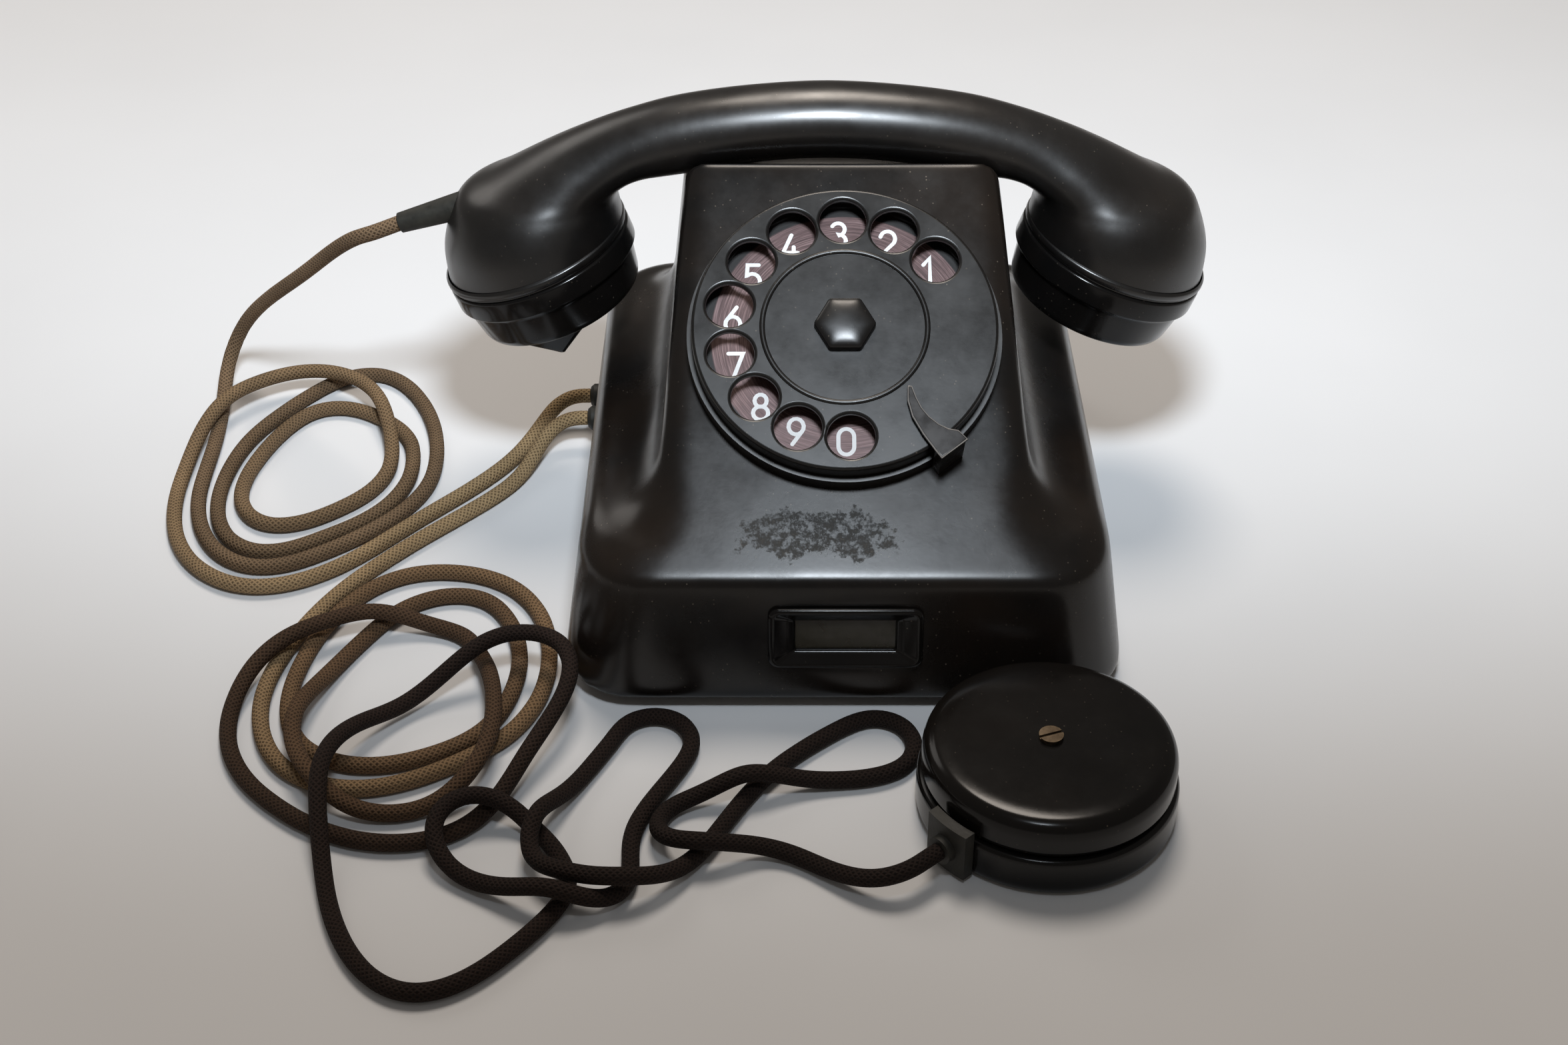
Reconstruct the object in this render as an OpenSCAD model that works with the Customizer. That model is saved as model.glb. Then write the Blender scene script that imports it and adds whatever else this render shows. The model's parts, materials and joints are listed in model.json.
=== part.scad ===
// Rotary desk telephone with a cradle handset and a second listening receiver.
// The origin is the middle of the base on the table, +Z up and -Y to the front.

/* [Housing] */
// Width of the skirt at its foot
base_w = 168; // [160:1:176]
// Depth of the skirt at its foot
base_d = 187; // [182:1:192]
// Radius of the skirt's upright corners
corner_r = 22; // [16:1:28]
// Thickness of the moulded wall
wall = 3; // [2.5:0.1:3.5]
// Clear height of the skirt's rim over the table
rim_h = 3.5; // [2.5:0.5:4]
// Height of the side shelves at their outer edge
shelf_h = 50; // [48:0.5:52]
// Width of the tower at its top
tower_top_w = 95; // [94:1:100]
// Width of the tower where it meets the shelves
tower_foot_w = 112; // [108:1:120]
// Height of the cradle's ears over the table
ear_h = 123.5; // [122.5:0.5:125]
// Depth of the dip between the ears
ear_dip = 3.5; // [2:0.5:5]
// Half width of the dip between the ears
dip_half_w = 34; // [28:1:40]
// Radius of the trough that the handset lies in
trough_r = 16; // [15.75:0.25:16.5]
// Distance from the base's middle back to the trough
trough_y = 41; // [40:0.5:42]

/* [Base] */
// Thickness of the steel base plate
plate_t = 2; // [1.5:0.1:3]
// Gap between the base plate and the housing's inside
plate_gap = 0.5; // [0.3:0.1:0.9]
// Width of the felt pad that the telephone stands on
pad_w = 136; // [110:1:140]
// Depth of the felt pad
pad_d = 146; // [120:1:150]
// Thickness of the felt pad
pad_t = 4.5; // [4:0.1:6]
// Radius of the base screws' shanks
base_screw_r = 1.6; // [1.2:0.1:2.5]

/* [Number window] */
// Width of the window's frame
window_w = 45; // [38:1:50]
// Height of the window's frame
window_h = 20; // [18:1:22]
// Width of the window's opening
pane_w = 29; // [24:1:31]
// Height of the window's opening
pane_h = 10; // [8:1:12]
// Height of the window's middle over the table
window_z = 26.5; // [24:0.5:28]

/* [Dial] */
// Slope of the dial's face from level
slope = 34; // [33:0.5:35]
// Height of the dial's middle over the table
dial_z = 86.2; // [84.2:0.5:88.2]
// Distance of the dial's middle from the base's middle, to the front
dial_front = 25.5; // [23.5:0.5:27.5]
// Radius of the finger wheel
wheel_r = 45; // [43.5:0.5:46]
// Radius of the circle of finger holes
hole_circle_r = 34.5; // [33:0.5:36]
// Radius of a finger hole
hole_r = 7; // [6:0.25:7.5]
// Angle between finger holes
hole_step = 26; // [24:0.5:27]
// Angle of the first finger hole from the right
first_hole = 38.5; // [34:0.5:44]
// Angle of the finger stop below the right
stop_below = 52; // [46:1:56]
// Outer radius of the fixed dial ring
ring_r = 46.5; // [46:0.25:48]
// Radius of the dial's can behind the slope
can_r = 38.5; // [38:0.25:39]
// Depth of the dial's can behind the slope
can_depth = 22; // [21:0.5:24]
// Radius of the dial's main shaft
shaft_r = 3; // [2.5:0.1:3.5]
// Running clearance between a shaft and its bearing
run_gap = 0.05; // [0.02:0.01:0.09]

/* [Dial gears] */
// Gear module
gear_m = 0.8; // [0.76:0.02:0.82]
// Teeth of the main gear
main_teeth = 50; // [48:2:50]
// Teeth of each pinion
pinion_teeth = 12; // [12:2:14]
// Teeth of the second gear
second_teeth = 24; // [22:2:24]
// Radius of the two small shafts
arbor_r = 1.5; // [1.2:0.1:1.8]

/* [Handset] */
// Distance between the middles of the two caps
cap_span = 185.8; // [182:0.2:190]
// Distance of the handset's middle from the base's middle, to the left
handset_left = 4.5; // [3:0.5:6]
// Depth of the cap seats' middles under the cradle's ears
cap_drop = 42.3; // [41.5:0.1:43]
// Tilt of the caps towards each other
cap_tilt = 20; // [16:1:22]
// Radius of a cap
cap_r = 31; // [29:0.5:32]
// Height of a cap
cap_h = 20.5; // [19:0.5:23]
// Height of the mouthpiece's hood over its cap
hood_h = 15; // [13:0.5:16]

/* [Cradle switch] */
// Radius of a plunger
plunger_r = 4; // [3:0.25:4.5]
// Distance of each plunger from the middle
plunger_x = 34; // [30:1:36]

/* [Ringer] */
// Radius of a gong
gong_r = 24; // [22:0.5:24.5]
// Height of a gong
gong_h = 12; // [10:0.5:14]
// Distance of each gong's middle from the telephone's middle
gong_x = 30; // [29:0.5:32]
// Radius of the clapper's ball
ball_r = 3.5; // [3:0.1:3.6]

/* [Listening receiver] */
// Radius of the receiver's ear cap
listener_r = 36.5; // [36:0.25:37]
// Height of the receiver
listener_h = 25; // [24:0.5:28]
// Distance of the receiver's middle from the base's middle, to the right
listener_x = 55.5; // [54:0.5:57]
// Distance of the receiver's middle from the base's middle, to the front
listener_front = 132; // [131.5:0.5:134]

/* [Cords] */
// Diameter of both cords
cord_d = 5; // [4.6:0.1:5.2]

/* [Hidden] */

$fn = 64;
seat_gap = 0.3;
far = 400;
black = [0.07, 0.065, 0.06];
steel = [0.62, 0.62, 0.6];
brass = [0.72, 0.56, 0.28];
copper = [0.6, 0.32, 0.18];
card = [0.62, 0.55, 0.42];
felt = [0.25, 0.22, 0.2];

// Housing: levels of the lofted body, each [height, half width, front, back, corner radius]
front_foot = -base_d / 2;
back_foot = base_d / 2;
front_lean = 7;
side_lean = 8.5;
back_lean = 3;
shelf_rise = 15;
edge_h = shelf_h - 6;
tower_back_top = 59;
tower_back_foot = 74;
tower_corner = 7;
dial_y = -dial_front;
trough_z = ear_h - 0.1;
inner_top = trough_z - trough_r - wall - 0.5;

function mix(a, b, t) = a + (b - a) * t;
function slope_y(z) = dial_y + (z - dial_z) / tan(slope);
function tower_t(z) = (z - shelf_h) / (ear_h - shelf_h);
function tower_half(z) = mix(tower_foot_w, tower_top_w, tower_t(z)) / 2;
function tower_back(z) = mix(tower_back_foot, tower_back_top, tower_t(z));
function side_x(z) = base_w / 2 - (z - rim_h) * tan(side_lean);
function front_y(z) = front_foot + (z - rim_h) * tan(front_lean);
function back_y(z) = back_foot - (z - rim_h) * tan(back_lean);
function skirt_level(z, inset) =
    [z, side_x(z) - inset, max(front_y(z) + inset, slope_y(z)), back_y(z) - inset, corner_r];
// The shelf runs inwards from its rounded edge and turns up into the tower along a quarter arc
function shelf_level(t) =
    let (z = shelf_h + shelf_rise * (1 - cos(90 * t)),
         half = mix(side_x(edge_h) - 4, tower_half(z), sin(90 * t)))
    [z, half, slope_y(z), mix(back_y(edge_h) - 5, tower_back(z), sin(90 * t)),
     mix(corner_r, tower_corner, t)];
function tower_level(z) = [z, tower_half(z), slope_y(z), tower_back(z), tower_corner];
function inner_level(v) = [v[0] - wall, v[1] - wall, v[2] + wall, v[3] - wall, max(v[4] - wall, 3)];

skirt_levels = [
    skirt_level(rim_h, 0.8), skirt_level(rim_h + 0.8, 0), skirt_level(edge_h, 0),
    skirt_level(edge_h + 3, 0.8), skirt_level(edge_h + 5, 2.4)
];
shelf_steps = 8;
shelf_levels = [for (i = [0 : shelf_steps]) shelf_level(i / shelf_steps)];
housing_levels = concat(skirt_levels, shelf_levels, [tower_level(ear_h - 3), tower_level(ear_h)]);
cavity_levels = concat(
    [inner_level(skirt_level(rim_h - 2, 0))],
    [for (v = skirt_levels) if (v[0] > rim_h + 1) inner_level(v)],
    [for (v = shelf_levels) inner_level(v)],
    [inner_level(tower_level(inner_top + wall))]);

corner_steps = 6;
function outline(v) = [
    for (q = [0 : 3], k = [0 : corner_steps])
        let (a = 90 * q + 90 * k / corner_steps,
             sx = q == 0 || q == 3 ? 1 : -1,
             sy = q < 2 ? 1 : -1)
        [sx * (v[1] - v[4]) + v[4] * cos(a),
         (sy > 0 ? v[3] - v[4] : v[2] + v[4]) + v[4] * sin(a),
         v[0]]
];

// Skin over a row of outlines that have the same number of points
module loft(rows) {
    n = len(rows[0]);
    last = len(rows) - 1;
    sides = [
        for (i = [0 : last - 1], k = [0 : n - 1])
            let (a = i * n + k, b = i * n + (k + 1) % n)
            each [[a, a + n, b + n], [a, b + n, b]]
    ];
    foot = [for (k = [0 : n - 1]) k];
    top = [for (k = [n - 1 : -1 : 0]) last * n + k];
    polyhedron([for (row = rows) each row], concat([foot], sides, [top]), convexity = 10);
}

// Routes: a smooth curve close to points that are chosen by hand, from the first to the last of them
function bend(a, b, c, d, t) =
    (pow(1 - t, 3) * a + (3 * pow(t, 3) - 6 * t * t + 4) * b
     + (-3 * pow(t, 3) + 3 * t * t + 3 * t + 1) * c + pow(t, 3) * d) / 6;
function smooth(p, steps) =
    let (n = len(p),
         q = concat([2 * p[0] - p[1]], p, [2 * p[n - 1] - p[n - 2]]))
    concat([for (i = [0 : n - 2], s = [0 : steps - 1]) bend(q[i], q[i + 1], q[i + 2], q[i + 3], s / steps)],
           [p[n - 1]]);
function unit(v) = v / norm(v);
function heading(p, i) = unit(p[min(i + 1, len(p) - 1)] - p[max(i - 1, 0)]);
function least_gap(p, skip) =
    min([for (i = [0 : len(p) - 1]) for (j = [i + skip : 1 : len(p) - 1]) norm(p[i] - p[j])]) - cord_d;
function run_length(p) = [for (i = [1 : len(p) - 1]) norm(p[i] - p[i - 1])] * [for (i = [1 : len(p) - 1]) 1];

tube_sides = 6;
module tube(p, r) {
    rows = [
        for (i = [0 : len(p) - 1])
            let (t = heading(p, i), side = unit(cross(t, [0, 0, 1])), up = cross(side, t))
            [for (k = [0 : tube_sides - 1])
                p[i] + r * (cos(360 * k / tube_sides) * up + sin(360 * k / tube_sides) * side)]
    ];
    loft(rows);
}

// Height of a cord's middle where it lies on the table
lie = 2.7;
gland_z = 11;
gland_reach = 2.5;
gland_r = 4.2;
gland_in = 5;
gland_end_x = -side_x(gland_z) - gland_reach;
handset_gland_y = base_d / 2 - 32.5;
receiver_gland_y = handset_gland_y - 14;
cap_x = cap_span / 2;
cap_z = ear_h - cap_drop;
handset_y = trough_y;
// The handset cord ends in a sleeve in the left head
sleeve_from = [-handset_left - cap_x - 20.6, handset_y, cap_z + 16];
sleeve_to = sleeve_from + [-23, 0, -7.2];
sleeve_run = sleeve_to - sleeve_from;
handset_route = [
    [gland_end_x, handset_gland_y, gland_z], [gland_end_x - 6, handset_gland_y, gland_z],
    [-97, 58.5, 9], [-101, 52, 6.5], [-105, 44, 4], [-110, 34.5, lie], [-116, 25, lie],
    [-123, 16, lie], [-130, 8, lie], [-138, -1, lie], [-147, -12, lie], [-157, -24, lie],
    [-170, -34, lie], [-185, -38, lie], [-199, -33, lie], [-211, -21, lie], [-218, -5, lie],
    [-221, 13, lie], [-221, 30, 3], [-219, 46, 7], [-214, 61, 10], [-205, 73, 9], [-191, 81, 9],
    [-176, 80, 9], [-164, 71, 9], [-157, 57, 10], [-152, 41, 5], [-151, 27, lie],
    [-156, 14, lie], [-165, 5, lie], [-174, -2, lie], [-184, -5, lie], [-193, -1, lie],
    [-199, 9, lie], [-200, 22, lie], [-197, 37, lie], [-192, 52, lie], [-184, 65, lie],
    [-171, 67, lie], [-158, 59, lie], [-147, 48, lie], [-144, 34, lie], [-144, 20, lie],
    [-149, 6, lie], [-158, -4, lie], [-168, -11, lie], [-178, -18, lie], [-189, -19, lie],
    [-199, -12, lie], [-205, 1, lie], [-207, 16, lie], [-206, 31, lie], [-203, 46, lie],
    [-196, 60, lie], [-187, 74, lie], [-176, 87, lie], [-162, 89, lie], [-151, 79, lie],
    [-143, 64, lie], [-138, 48, lie], [-136, 32, lie], [-137, 17, lie], [-143, 4, lie],
    [-153, -8, lie], [-165, -18, lie], [-177, -26, lie], [-189, -27, lie], [-200, -20, lie],
    [-208, -8, lie], [-213, 8, lie], [-214, 24, lie], [-214, 40, lie], [-215, 56, lie],
    [-217, 72, lie], [-218, 86, 8], [-213, 91, 19], [-205, 85, 31], [-194, 75, 44],
    [-180, 64, 58], [-167, 53, 73], [-157, 44, 83],
    sleeve_to + [-10, 0, -4], sleeve_to + [-5, 0, -2], sleeve_to
];
receiver_route = [
    [gland_end_x, receiver_gland_y, gland_z], [gland_end_x - 6, receiver_gland_y, gland_z],
    [-97, 44.5, 9], [-101, 38, 6.5], [-104, 30, 4], [-108, 21, lie], [-114, 12.5, lie],
    [-121, 4.5, lie], [-128.5, -3.5, lie], [-137, -12.5, lie], [-147, -24.5, lie], [-157, -38, lie],
    [-165, -54, lie], [-170, -70, lie], [-173, -86, lie], [-171, -103, lie], [-164, -118, lie],
    [-152, -127, lie], [-138, -130, lie], [-123, -126, lie], [-109, -117, lie], [-97, -107, lie],
    [-90, -92, lie], [-88, -76, lie], [-90, -59, lie], [-96, -44, lie], [-107, -33, lie],
    [-123, -28, lie], [-139, -30, lie], [-151, -40, lie], [-159, -55, lie], [-163, -70, lie],
    [-165, -86, lie], [-163, -102, lie], [-156, -113, lie], [-145, -119, lie], [-132, -120, lie],
    [-118, -115, lie], [-106, -107, lie], [-100, -95, lie], [-97, -80, lie], [-98, -66, lie],
    [-103, -52, lie], [-111, -42, lie], [-124, -40, lie], [-137, -47, lie], [-145, -60, lie],
    [-152, -74, lie], [-157, -88, 5], [-160, -103, 10], [-158, -118, 9], [-150, -131, 10],
    [-140, -138, 4], [-127, -140, lie], [-114, -136, 3], [-104, -126, 9], [-101, -112, 10],
    [-102, -98, 10], [-105, -84, 8], [-110, -70, 3], [-115, -60, lie], [-128, -56, 3],
    [-142, -56, 10], [-155, -60, 9], [-168, -69, 10], [-177, -80, 7], [-181, -94, lie],
    [-179, -110, lie], [-172, -124, lie], [-161, -135, lie], [-149, -144, lie], [-135, -150, lie],
    [-120, -151, lie], [-106, -146, lie], [-97, -134, 4], [-91, -121, 9], [-84, -108, 12],
    [-79, -94, 15], [-82, -80, 16], [-94, -74, 16], [-107, -78, 16], [-119, -86, 8],
    [-130, -95, 3], [-140, -106, 8], [-145, -120, 14], [-147, -134, 16], [-145, -148, 9],
    [-142, -162, 3], [-138, -176, lie], [-131, -191, lie], [-121, -202, lie], [-110, -205, lie],
    [-99, -200, lie], [-90, -191, lie], [-82, -181, lie], [-77, -173, lie], [-75, -165, lie],
    [-78, -157, lie], [-82, -150, lie], [-87, -144.5, lie], [-93, -140, 7], [-101.5, -138.5, 10.5],
    [-109.5, -141, 10.5], [-114, -148.5, 9.5], [-112, -157, 6], [-105, -163.5, 3], [-96, -168, 4],
    [-88, -171.5, 7.5], [-80, -174, 10.5], [-72, -175, 7.5], [-65, -173, 4], [-60, -167.5, lie],
    [-59, -160, lie], [-60, -152, lie], [-59, -143, lie], [-55, -134, lie], [-50, -125, lie],
    [-46, -117, lie], [-43.5, -109, lie], [-47, -100.5, lie], [-55.5, -97, lie], [-64, -100.5, lie],
    [-67.5, -109, lie], [-71.5, -117, lie], [-75.5, -125, lie], [-79.5, -132.5, 4], [-83, -139.5, 7.5],
    [-86, -146.5, 10.2], [-87.5, -154, 7.5], [-85, -161.5, 6.5], [-78, -167, 9.5], [-69.5, -170, 10],
    [-60.5, -170.5, 10.5], [-52, -167.5, 7.5], [-45.5, -161.5, 4], [-40, -153.5, lie], [-35.5, -145, lie],
    [-31, -136.5, lie], [-26, -128, lie], [-20, -120, lie], [-12, -112, lie], [-3, -104.5, lie],
    [7, -97.5, lie], [17, -101, lie], [21, -110.5, lie], [17, -120.5, lie], [7, -124.5, lie],
    [-3, -125.5, lie], [-12, -126.5, 4], [-20, -128, 7.5], [-28, -130, 10.5], [-35, -131.5, 7.5],
    [-42, -133, 4], [-50, -136.5, 3], [-53.7, -145, 4], [-50, -153.5, 7.5], [-41.5, -157, 10.2],
    [-32.5, -155, 7.5], [-24, -152.5, 4], [-15, -154.5, lie], [-6.5, -160.5, 3], [1.5, -166, 5],
    [9, -168.5, 7.5], [16, -166.6, 9], [19.7, -163.3, 9], [23.5, -160, 9]
];
handset_run = smooth(handset_route, 2);
receiver_run = smooth(receiver_route, 2);
// Points nearer than this along the cord are neighbours on one bend
gap_skip = 4;
echo(handset_cord_least_gap = least_gap(smooth(handset_route, 3), 3 * gap_skip));
echo(receiver_cord_least_gap = least_gap(smooth(receiver_route, 3), 3 * gap_skip));
echo(handset_cord_length = run_length(smooth(handset_route, 6)));
echo(receiver_cord_length = run_length(smooth(receiver_route, 6)));

// Dial: heights over the slope along the dial's axis
ring_h = 5.5;
plate_seat = 3;
dial_plate_t = 1;
can_wall = 2;
can_in_r = can_r - can_wall;
wheel_foot = ring_h + 0.7;
wheel_top = 11.5;
wheel_t = 2.5;
wheel_rim = 2.25;
hub_r = 9;
bridge_top = -1;
bridge_t = 2;
main_gear_top = -6.5;
main_gear_t = 2.5;
second_gear_top = -12;
second_gear_t = 2;
cam_top = -16;
cam_t = 2;
can_floor = -can_depth + can_wall;
stop_r = ring_r + seat_gap;
stop_t = 3;
stop_w = 9;
blade_foot = wheel_top + 1;
blade_t = 1.5;
mesh_gap = 0.06;
tooth_slack = 0.12;
arbor_x = gear_m * (main_teeth + pinion_teeth) / 2 + mesh_gap;
governor_turn = 100;
governor_reach = gear_m * (second_teeth + pinion_teeth) / 2 + mesh_gap;
governor_at = [arbor_x + governor_reach * cos(governor_turn), governor_reach * sin(governor_turn)];
weight_r = 6.5;
cam_r = 7;

module on_slope() {
    translate([0, dial_y, dial_z]) rotate([slope, 0, 0]) children();
}

module disc(r, z0, z1) {
    translate([0, 0, z0]) cylinder(r = r, h = z1 - z0);
}

// Straight-sided ring from z0 to z1
module ring(r_out, r_in, z0, z1) {
    difference() {
        disc(r_out, z0, z1);
        disc(r_in, z0 - 1, z1 + 1);
    }
}

module block(x, y, z) {
    translate([x[0], y[0], z[0]]) cube([x[1] - x[0], y[1] - y[0], z[1] - z[0]]);
}

module round_plate(w, d, r, z0, z1) {
    for (turn = [0, 1])
        block(turn ? [-w / 2, w / 2] : [r - w / 2, w / 2 - r],
              turn ? [r - d / 2, d / 2 - r] : [-d / 2, d / 2], [z0, z1]);
    for (sx = [-1, 1], sy = [-1, 1])
        translate([sx * (w / 2 - r), sy * (d / 2 - r), 0]) disc(r, z0, z1);
}

// Involute gear
pressure = 20;
flank_steps = 4;
deg = 180 / PI;
function inv(a) = tan(a) * deg - a;
function flank(rp, rb, r, half) = half - (inv(acos(min(1, rb / r))) - inv(acos(rb / rp)));
module gear(teeth, z0, z1) {
    rp = gear_m * teeth / 2;
    rb = rp * cos(pressure);
    root = rp - 1.2 * gear_m;
    tip = rp + gear_m;
    low = max(rb, root + 0.1);
    half = 90 / teeth - tooth_slack / rp * deg / 2;
    rise = [for (k = [0 : flank_steps]) mix(low, tip, k / flank_steps)];
    points = [
        for (i = [0 : teeth - 1])
            let (mid = 360 * i / teeth)
            each concat(
                [[root, mid - flank(rp, rb, low, half)]],
                [for (r = rise) [r, mid - flank(rp, rb, r, half)]],
                [for (k = [flank_steps : -1 : 0]) [rise[k], mid + flank(rp, rb, rise[k], half)]],
                [[root, mid + flank(rp, rb, low, half)]])
    ];
    translate([0, 0, z0])
        linear_extrude(z1 - z0)
            polygon([for (p = points) [p[0] * cos(p[1]), p[0] * sin(p[1])]]);
}

// Base stack
plate_z = pad_t;
deck = plate_z + plate_t;
plate_w = 2 * (side_x(deck + wall) - wall - plate_gap);
plate_d = base_d - 2 * wall - 2 * plate_gap - 4;
boss_r = 5;
boss_x = base_w / 2 - 20;
boss_y = base_d / 2 - 26;
boss_top = shelf_h - 0.5;
boss_bore = base_screw_r + 0.15;
screw_depth = 10;
head_h = 1.8;
head_r = 2 * base_screw_r;

module at_bosses() {
    for (sx = [-1, 1], sy = [-1, 1]) translate([sx * boss_x, sy * boss_y, 0]) children();
}

// Number window, in a frame that lies on the leaning front wall
module on_front() {
    translate([0, front_y(window_z), window_z]) rotate([90 - front_lean, 0, 0]) children();
}
bezel_t = 1.6;
spigot_rim = 2;
pane_t = 1;
card_t = 0.5;
spigot_depth = wall + pane_t + card_t;

module housing_shell() {
    color(black)
    difference() {
        union() {
            difference() {
                loft([for (v = housing_levels) outline(v)]);
                loft([for (v = cavity_levels) outline(v)]);
            }
            at_bosses() disc(boss_r, deck, boss_top);
        }
        translate([-far / 2, trough_y, trough_z]) rotate([0, 90, 0]) cylinder(r = trough_r, h = far);
        translate([0, far / 2, ear_h - ear_dip + (pow(dip_half_w, 2) + pow(ear_dip, 2)) / (2 * ear_dip)])
            rotate([90, 0, 0])
                cylinder(r = (pow(dip_half_w, 2) + pow(ear_dip, 2)) / (2 * ear_dip), h = far, $fn = 180);
        on_slope() disc(can_r + seat_gap, -can_depth, can_depth);
        on_front()
            block([-1, 1] * (pane_w / 2 + spigot_rim + seat_gap), [-1, 1] * (pane_h / 2 + spigot_rim + seat_gap),
                  [-3 * wall, wall]);
        for (sx = [-1, 1])
            translate([sx * plunger_x, trough_y, 0]) disc(plunger_r + 0.6, inner_top - wall, ear_h);
        for (y = [handset_gland_y, receiver_gland_y])
            translate([-side_x(gland_z), y, gland_z]) rotate([0, 90, 0]) disc(gland_r + seat_gap, -wall, 2 * wall);
        at_bosses() disc(boss_bore, deck - 1, deck + screw_depth + 2);
    }
}

module base_plate() {
    color(steel)
    difference() {
        round_plate(plate_w, plate_d, corner_r - wall, plate_z, deck);
        at_bosses() disc(boss_bore, plate_z - 1, deck + 1);
    }
}

module base_pad() {
    color(felt) difference() {
        round_plate(pad_w, pad_d, corner_r, 0, pad_t);
        at_bosses() disc(head_r + 1, -1, pad_t + 1);
    }
}

module base_screws() {
    color(steel)
    at_bosses() {
        disc(head_r, plate_z - head_h, plate_z);
        disc(base_screw_r, plate_z - head_h / 2, deck + screw_depth);
    }
}

module window_frame() {
    color(black)
    on_front() difference() {
        union() {
            round_plate(window_w, window_h, 3, 0, bezel_t);
            block([-1, 1] * (pane_w / 2 + spigot_rim), [-1, 1] * (pane_h / 2 + spigot_rim), [-spigot_depth, 0]);
        }
        block([-1, 1] * pane_w / 2, [-1, 1] * pane_h / 2, [-spigot_depth - 1, bezel_t + 1]);
    }
}

module window_pane() {
    color([0.75, 0.7, 0.6, 0.5])
    on_front() block([-1, 1] * pane_w / 2, [-1, 1] * pane_h / 2, [-wall, -wall + pane_t]);
}

module number_card() {
    color(card)
    on_front() block([-1, 1] * pane_w / 2, [-1, 1] * pane_h / 2, [-wall - card_t, -wall]);
}

// Fixed dial ring with its can; the ring's top is rounded
module dial_case() {
    color(black)
    on_slope() difference() {
        union() {
            disc(ring_r, 0, ring_h);
            disc(can_r, -can_depth, 1);
        }
        disc(ring_r - 4.5, plate_seat, ring_h + 1);
        disc(can_in_r, can_floor, ring_h + 1);
        disc(shaft_r + run_gap, -can_depth - 1, 0);
        translate([arbor_x, 0, 0]) disc(arbor_r + run_gap, -can_depth - 1, 0);
        translate(governor_at) disc(arbor_r + run_gap, -can_depth - 1, 0);
    }
}

module number_plate() {
    color([0.4, 0.34, 0.34])
    on_slope() ring(ring_r - 4.5, hub_r + 0.5, plate_seat, plate_seat + dial_plate_t);
}

// Post beside the dial ring and a hooked blade over the finger wheel
module finger_stop() {
    reach = hole_circle_r - 5;
    color(steel)
    on_slope() rotate([0, 0, -stop_below]) {
        block([stop_r, stop_r + stop_t], [-1, 1] * stop_w / 2, [0, blade_foot + blade_t]);
        translate([0, 0, blade_foot]) linear_extrude(blade_t)
            difference() {
                polygon([[stop_r + stop_t, -stop_w / 2], [stop_r + stop_t, stop_w / 2], [reach + 6, stop_w / 2],
                         [reach, stop_w / 2 + 3], [reach - 1, stop_w / 2], [reach + 6, -stop_w / 2 + 1]]);
                translate([stop_r - 4, -stop_w / 2 - 8]) circle(r = 9);
            }
    }
}

module dial_bridge() {
    color(brass)
    on_slope() difference() {
        disc(can_in_r, bridge_top - bridge_t, bridge_top);
        disc(shaft_r + run_gap, bridge_top - bridge_t - 1, bridge_top + 1);
        translate([arbor_x, 0, 0]) disc(arbor_r + run_gap, bridge_top - bridge_t - 1, bridge_top + 1);
        translate(governor_at) disc(arbor_r + run_gap, bridge_top - bridge_t - 1, bridge_top + 1);
    }
}

module return_spring() {
    color(steel)
    on_slope() ring(shaft_r + 6, shaft_r + 2, can_floor, main_gear_top - main_gear_t - seat_gap);
}

module pulse_contacts() {
    leaf_y = -cam_r - 1.5;
    leaf_half = 5;
    color(brass)
    on_slope() translate([arbor_x, 0, 0]) {
        block([-leaf_half, leaf_half], [leaf_y - 6, leaf_y - 2], [can_floor, second_gear_top - second_gear_t - 3]);
        block([-leaf_half, leaf_half], [leaf_y - 2, leaf_y], [can_floor + 1, cam_top - 0.5]);
    }
}

// Finger wheel turned with its rim, hub and bead, then cut by the finger holes
module finger_wheel() {
    bead_r = 25.5;
    bead_t = 0.7;
    bead_w = 0.9;
    chamfer = 0.6;
    over = 1;
    under = wheel_top - wheel_t;
    color(black)
    on_slope() difference() {
        rotate_extrude() polygon([
            [shaft_r, bridge_top + seat_gap], [hub_r, bridge_top + seat_gap], [hub_r, under],
            [wheel_r - wheel_rim, under], [wheel_r - wheel_rim, wheel_foot], [wheel_r, wheel_foot],
            [wheel_r, wheel_top - 1], [wheel_r - 1, wheel_top], [bead_r + bead_w, wheel_top],
            [bead_r + bead_w / 2, wheel_top + bead_t], [bead_r - bead_w / 2, wheel_top + bead_t],
            [bead_r - bead_w, wheel_top], [shaft_r, wheel_top]
        ]);
        for (i = [0 : 9]) rotate([0, 0, first_hole + hole_step * i]) translate([hole_circle_r, 0, 0])
            rotate_extrude() polygon([
                [0, under - over], [hole_r, under - over], [hole_r, wheel_top - chamfer],
                [hole_r + chamfer + over, wheel_top + over], [0, wheel_top + over]
            ]);
    }
}

module hex_nut() {
    nut_r = 9.25;
    nut_h = 4;
    dome_r = 26;
    color(black)
    on_slope() intersection() {
        translate([0, 0, wheel_top]) cylinder(r = nut_r, h = nut_h, $fn = 6);
        translate([0, 0, wheel_top + nut_h - dome_r]) sphere(r = dome_r);
    }
}

module dial_shaft() {
    color(steel) on_slope() disc(shaft_r, -can_depth, wheel_top);
}

module main_gear() {
    color(brass)
    on_slope() difference() {
        gear(main_teeth, main_gear_top - main_gear_t, main_gear_top);
        disc(shaft_r, -can_depth, 0);
    }
}

// Arbor with its pinion in mesh with the main gear
module pulse_arbor() {
    color(steel)
    on_slope() translate([arbor_x, 0, 0]) {
        disc(arbor_r, -can_depth, bridge_top);
        rotate([0, 0, 180 / pinion_teeth]) gear(pinion_teeth, main_gear_top - main_gear_t - 0.5, main_gear_top + 0.5);
    }
}

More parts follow.
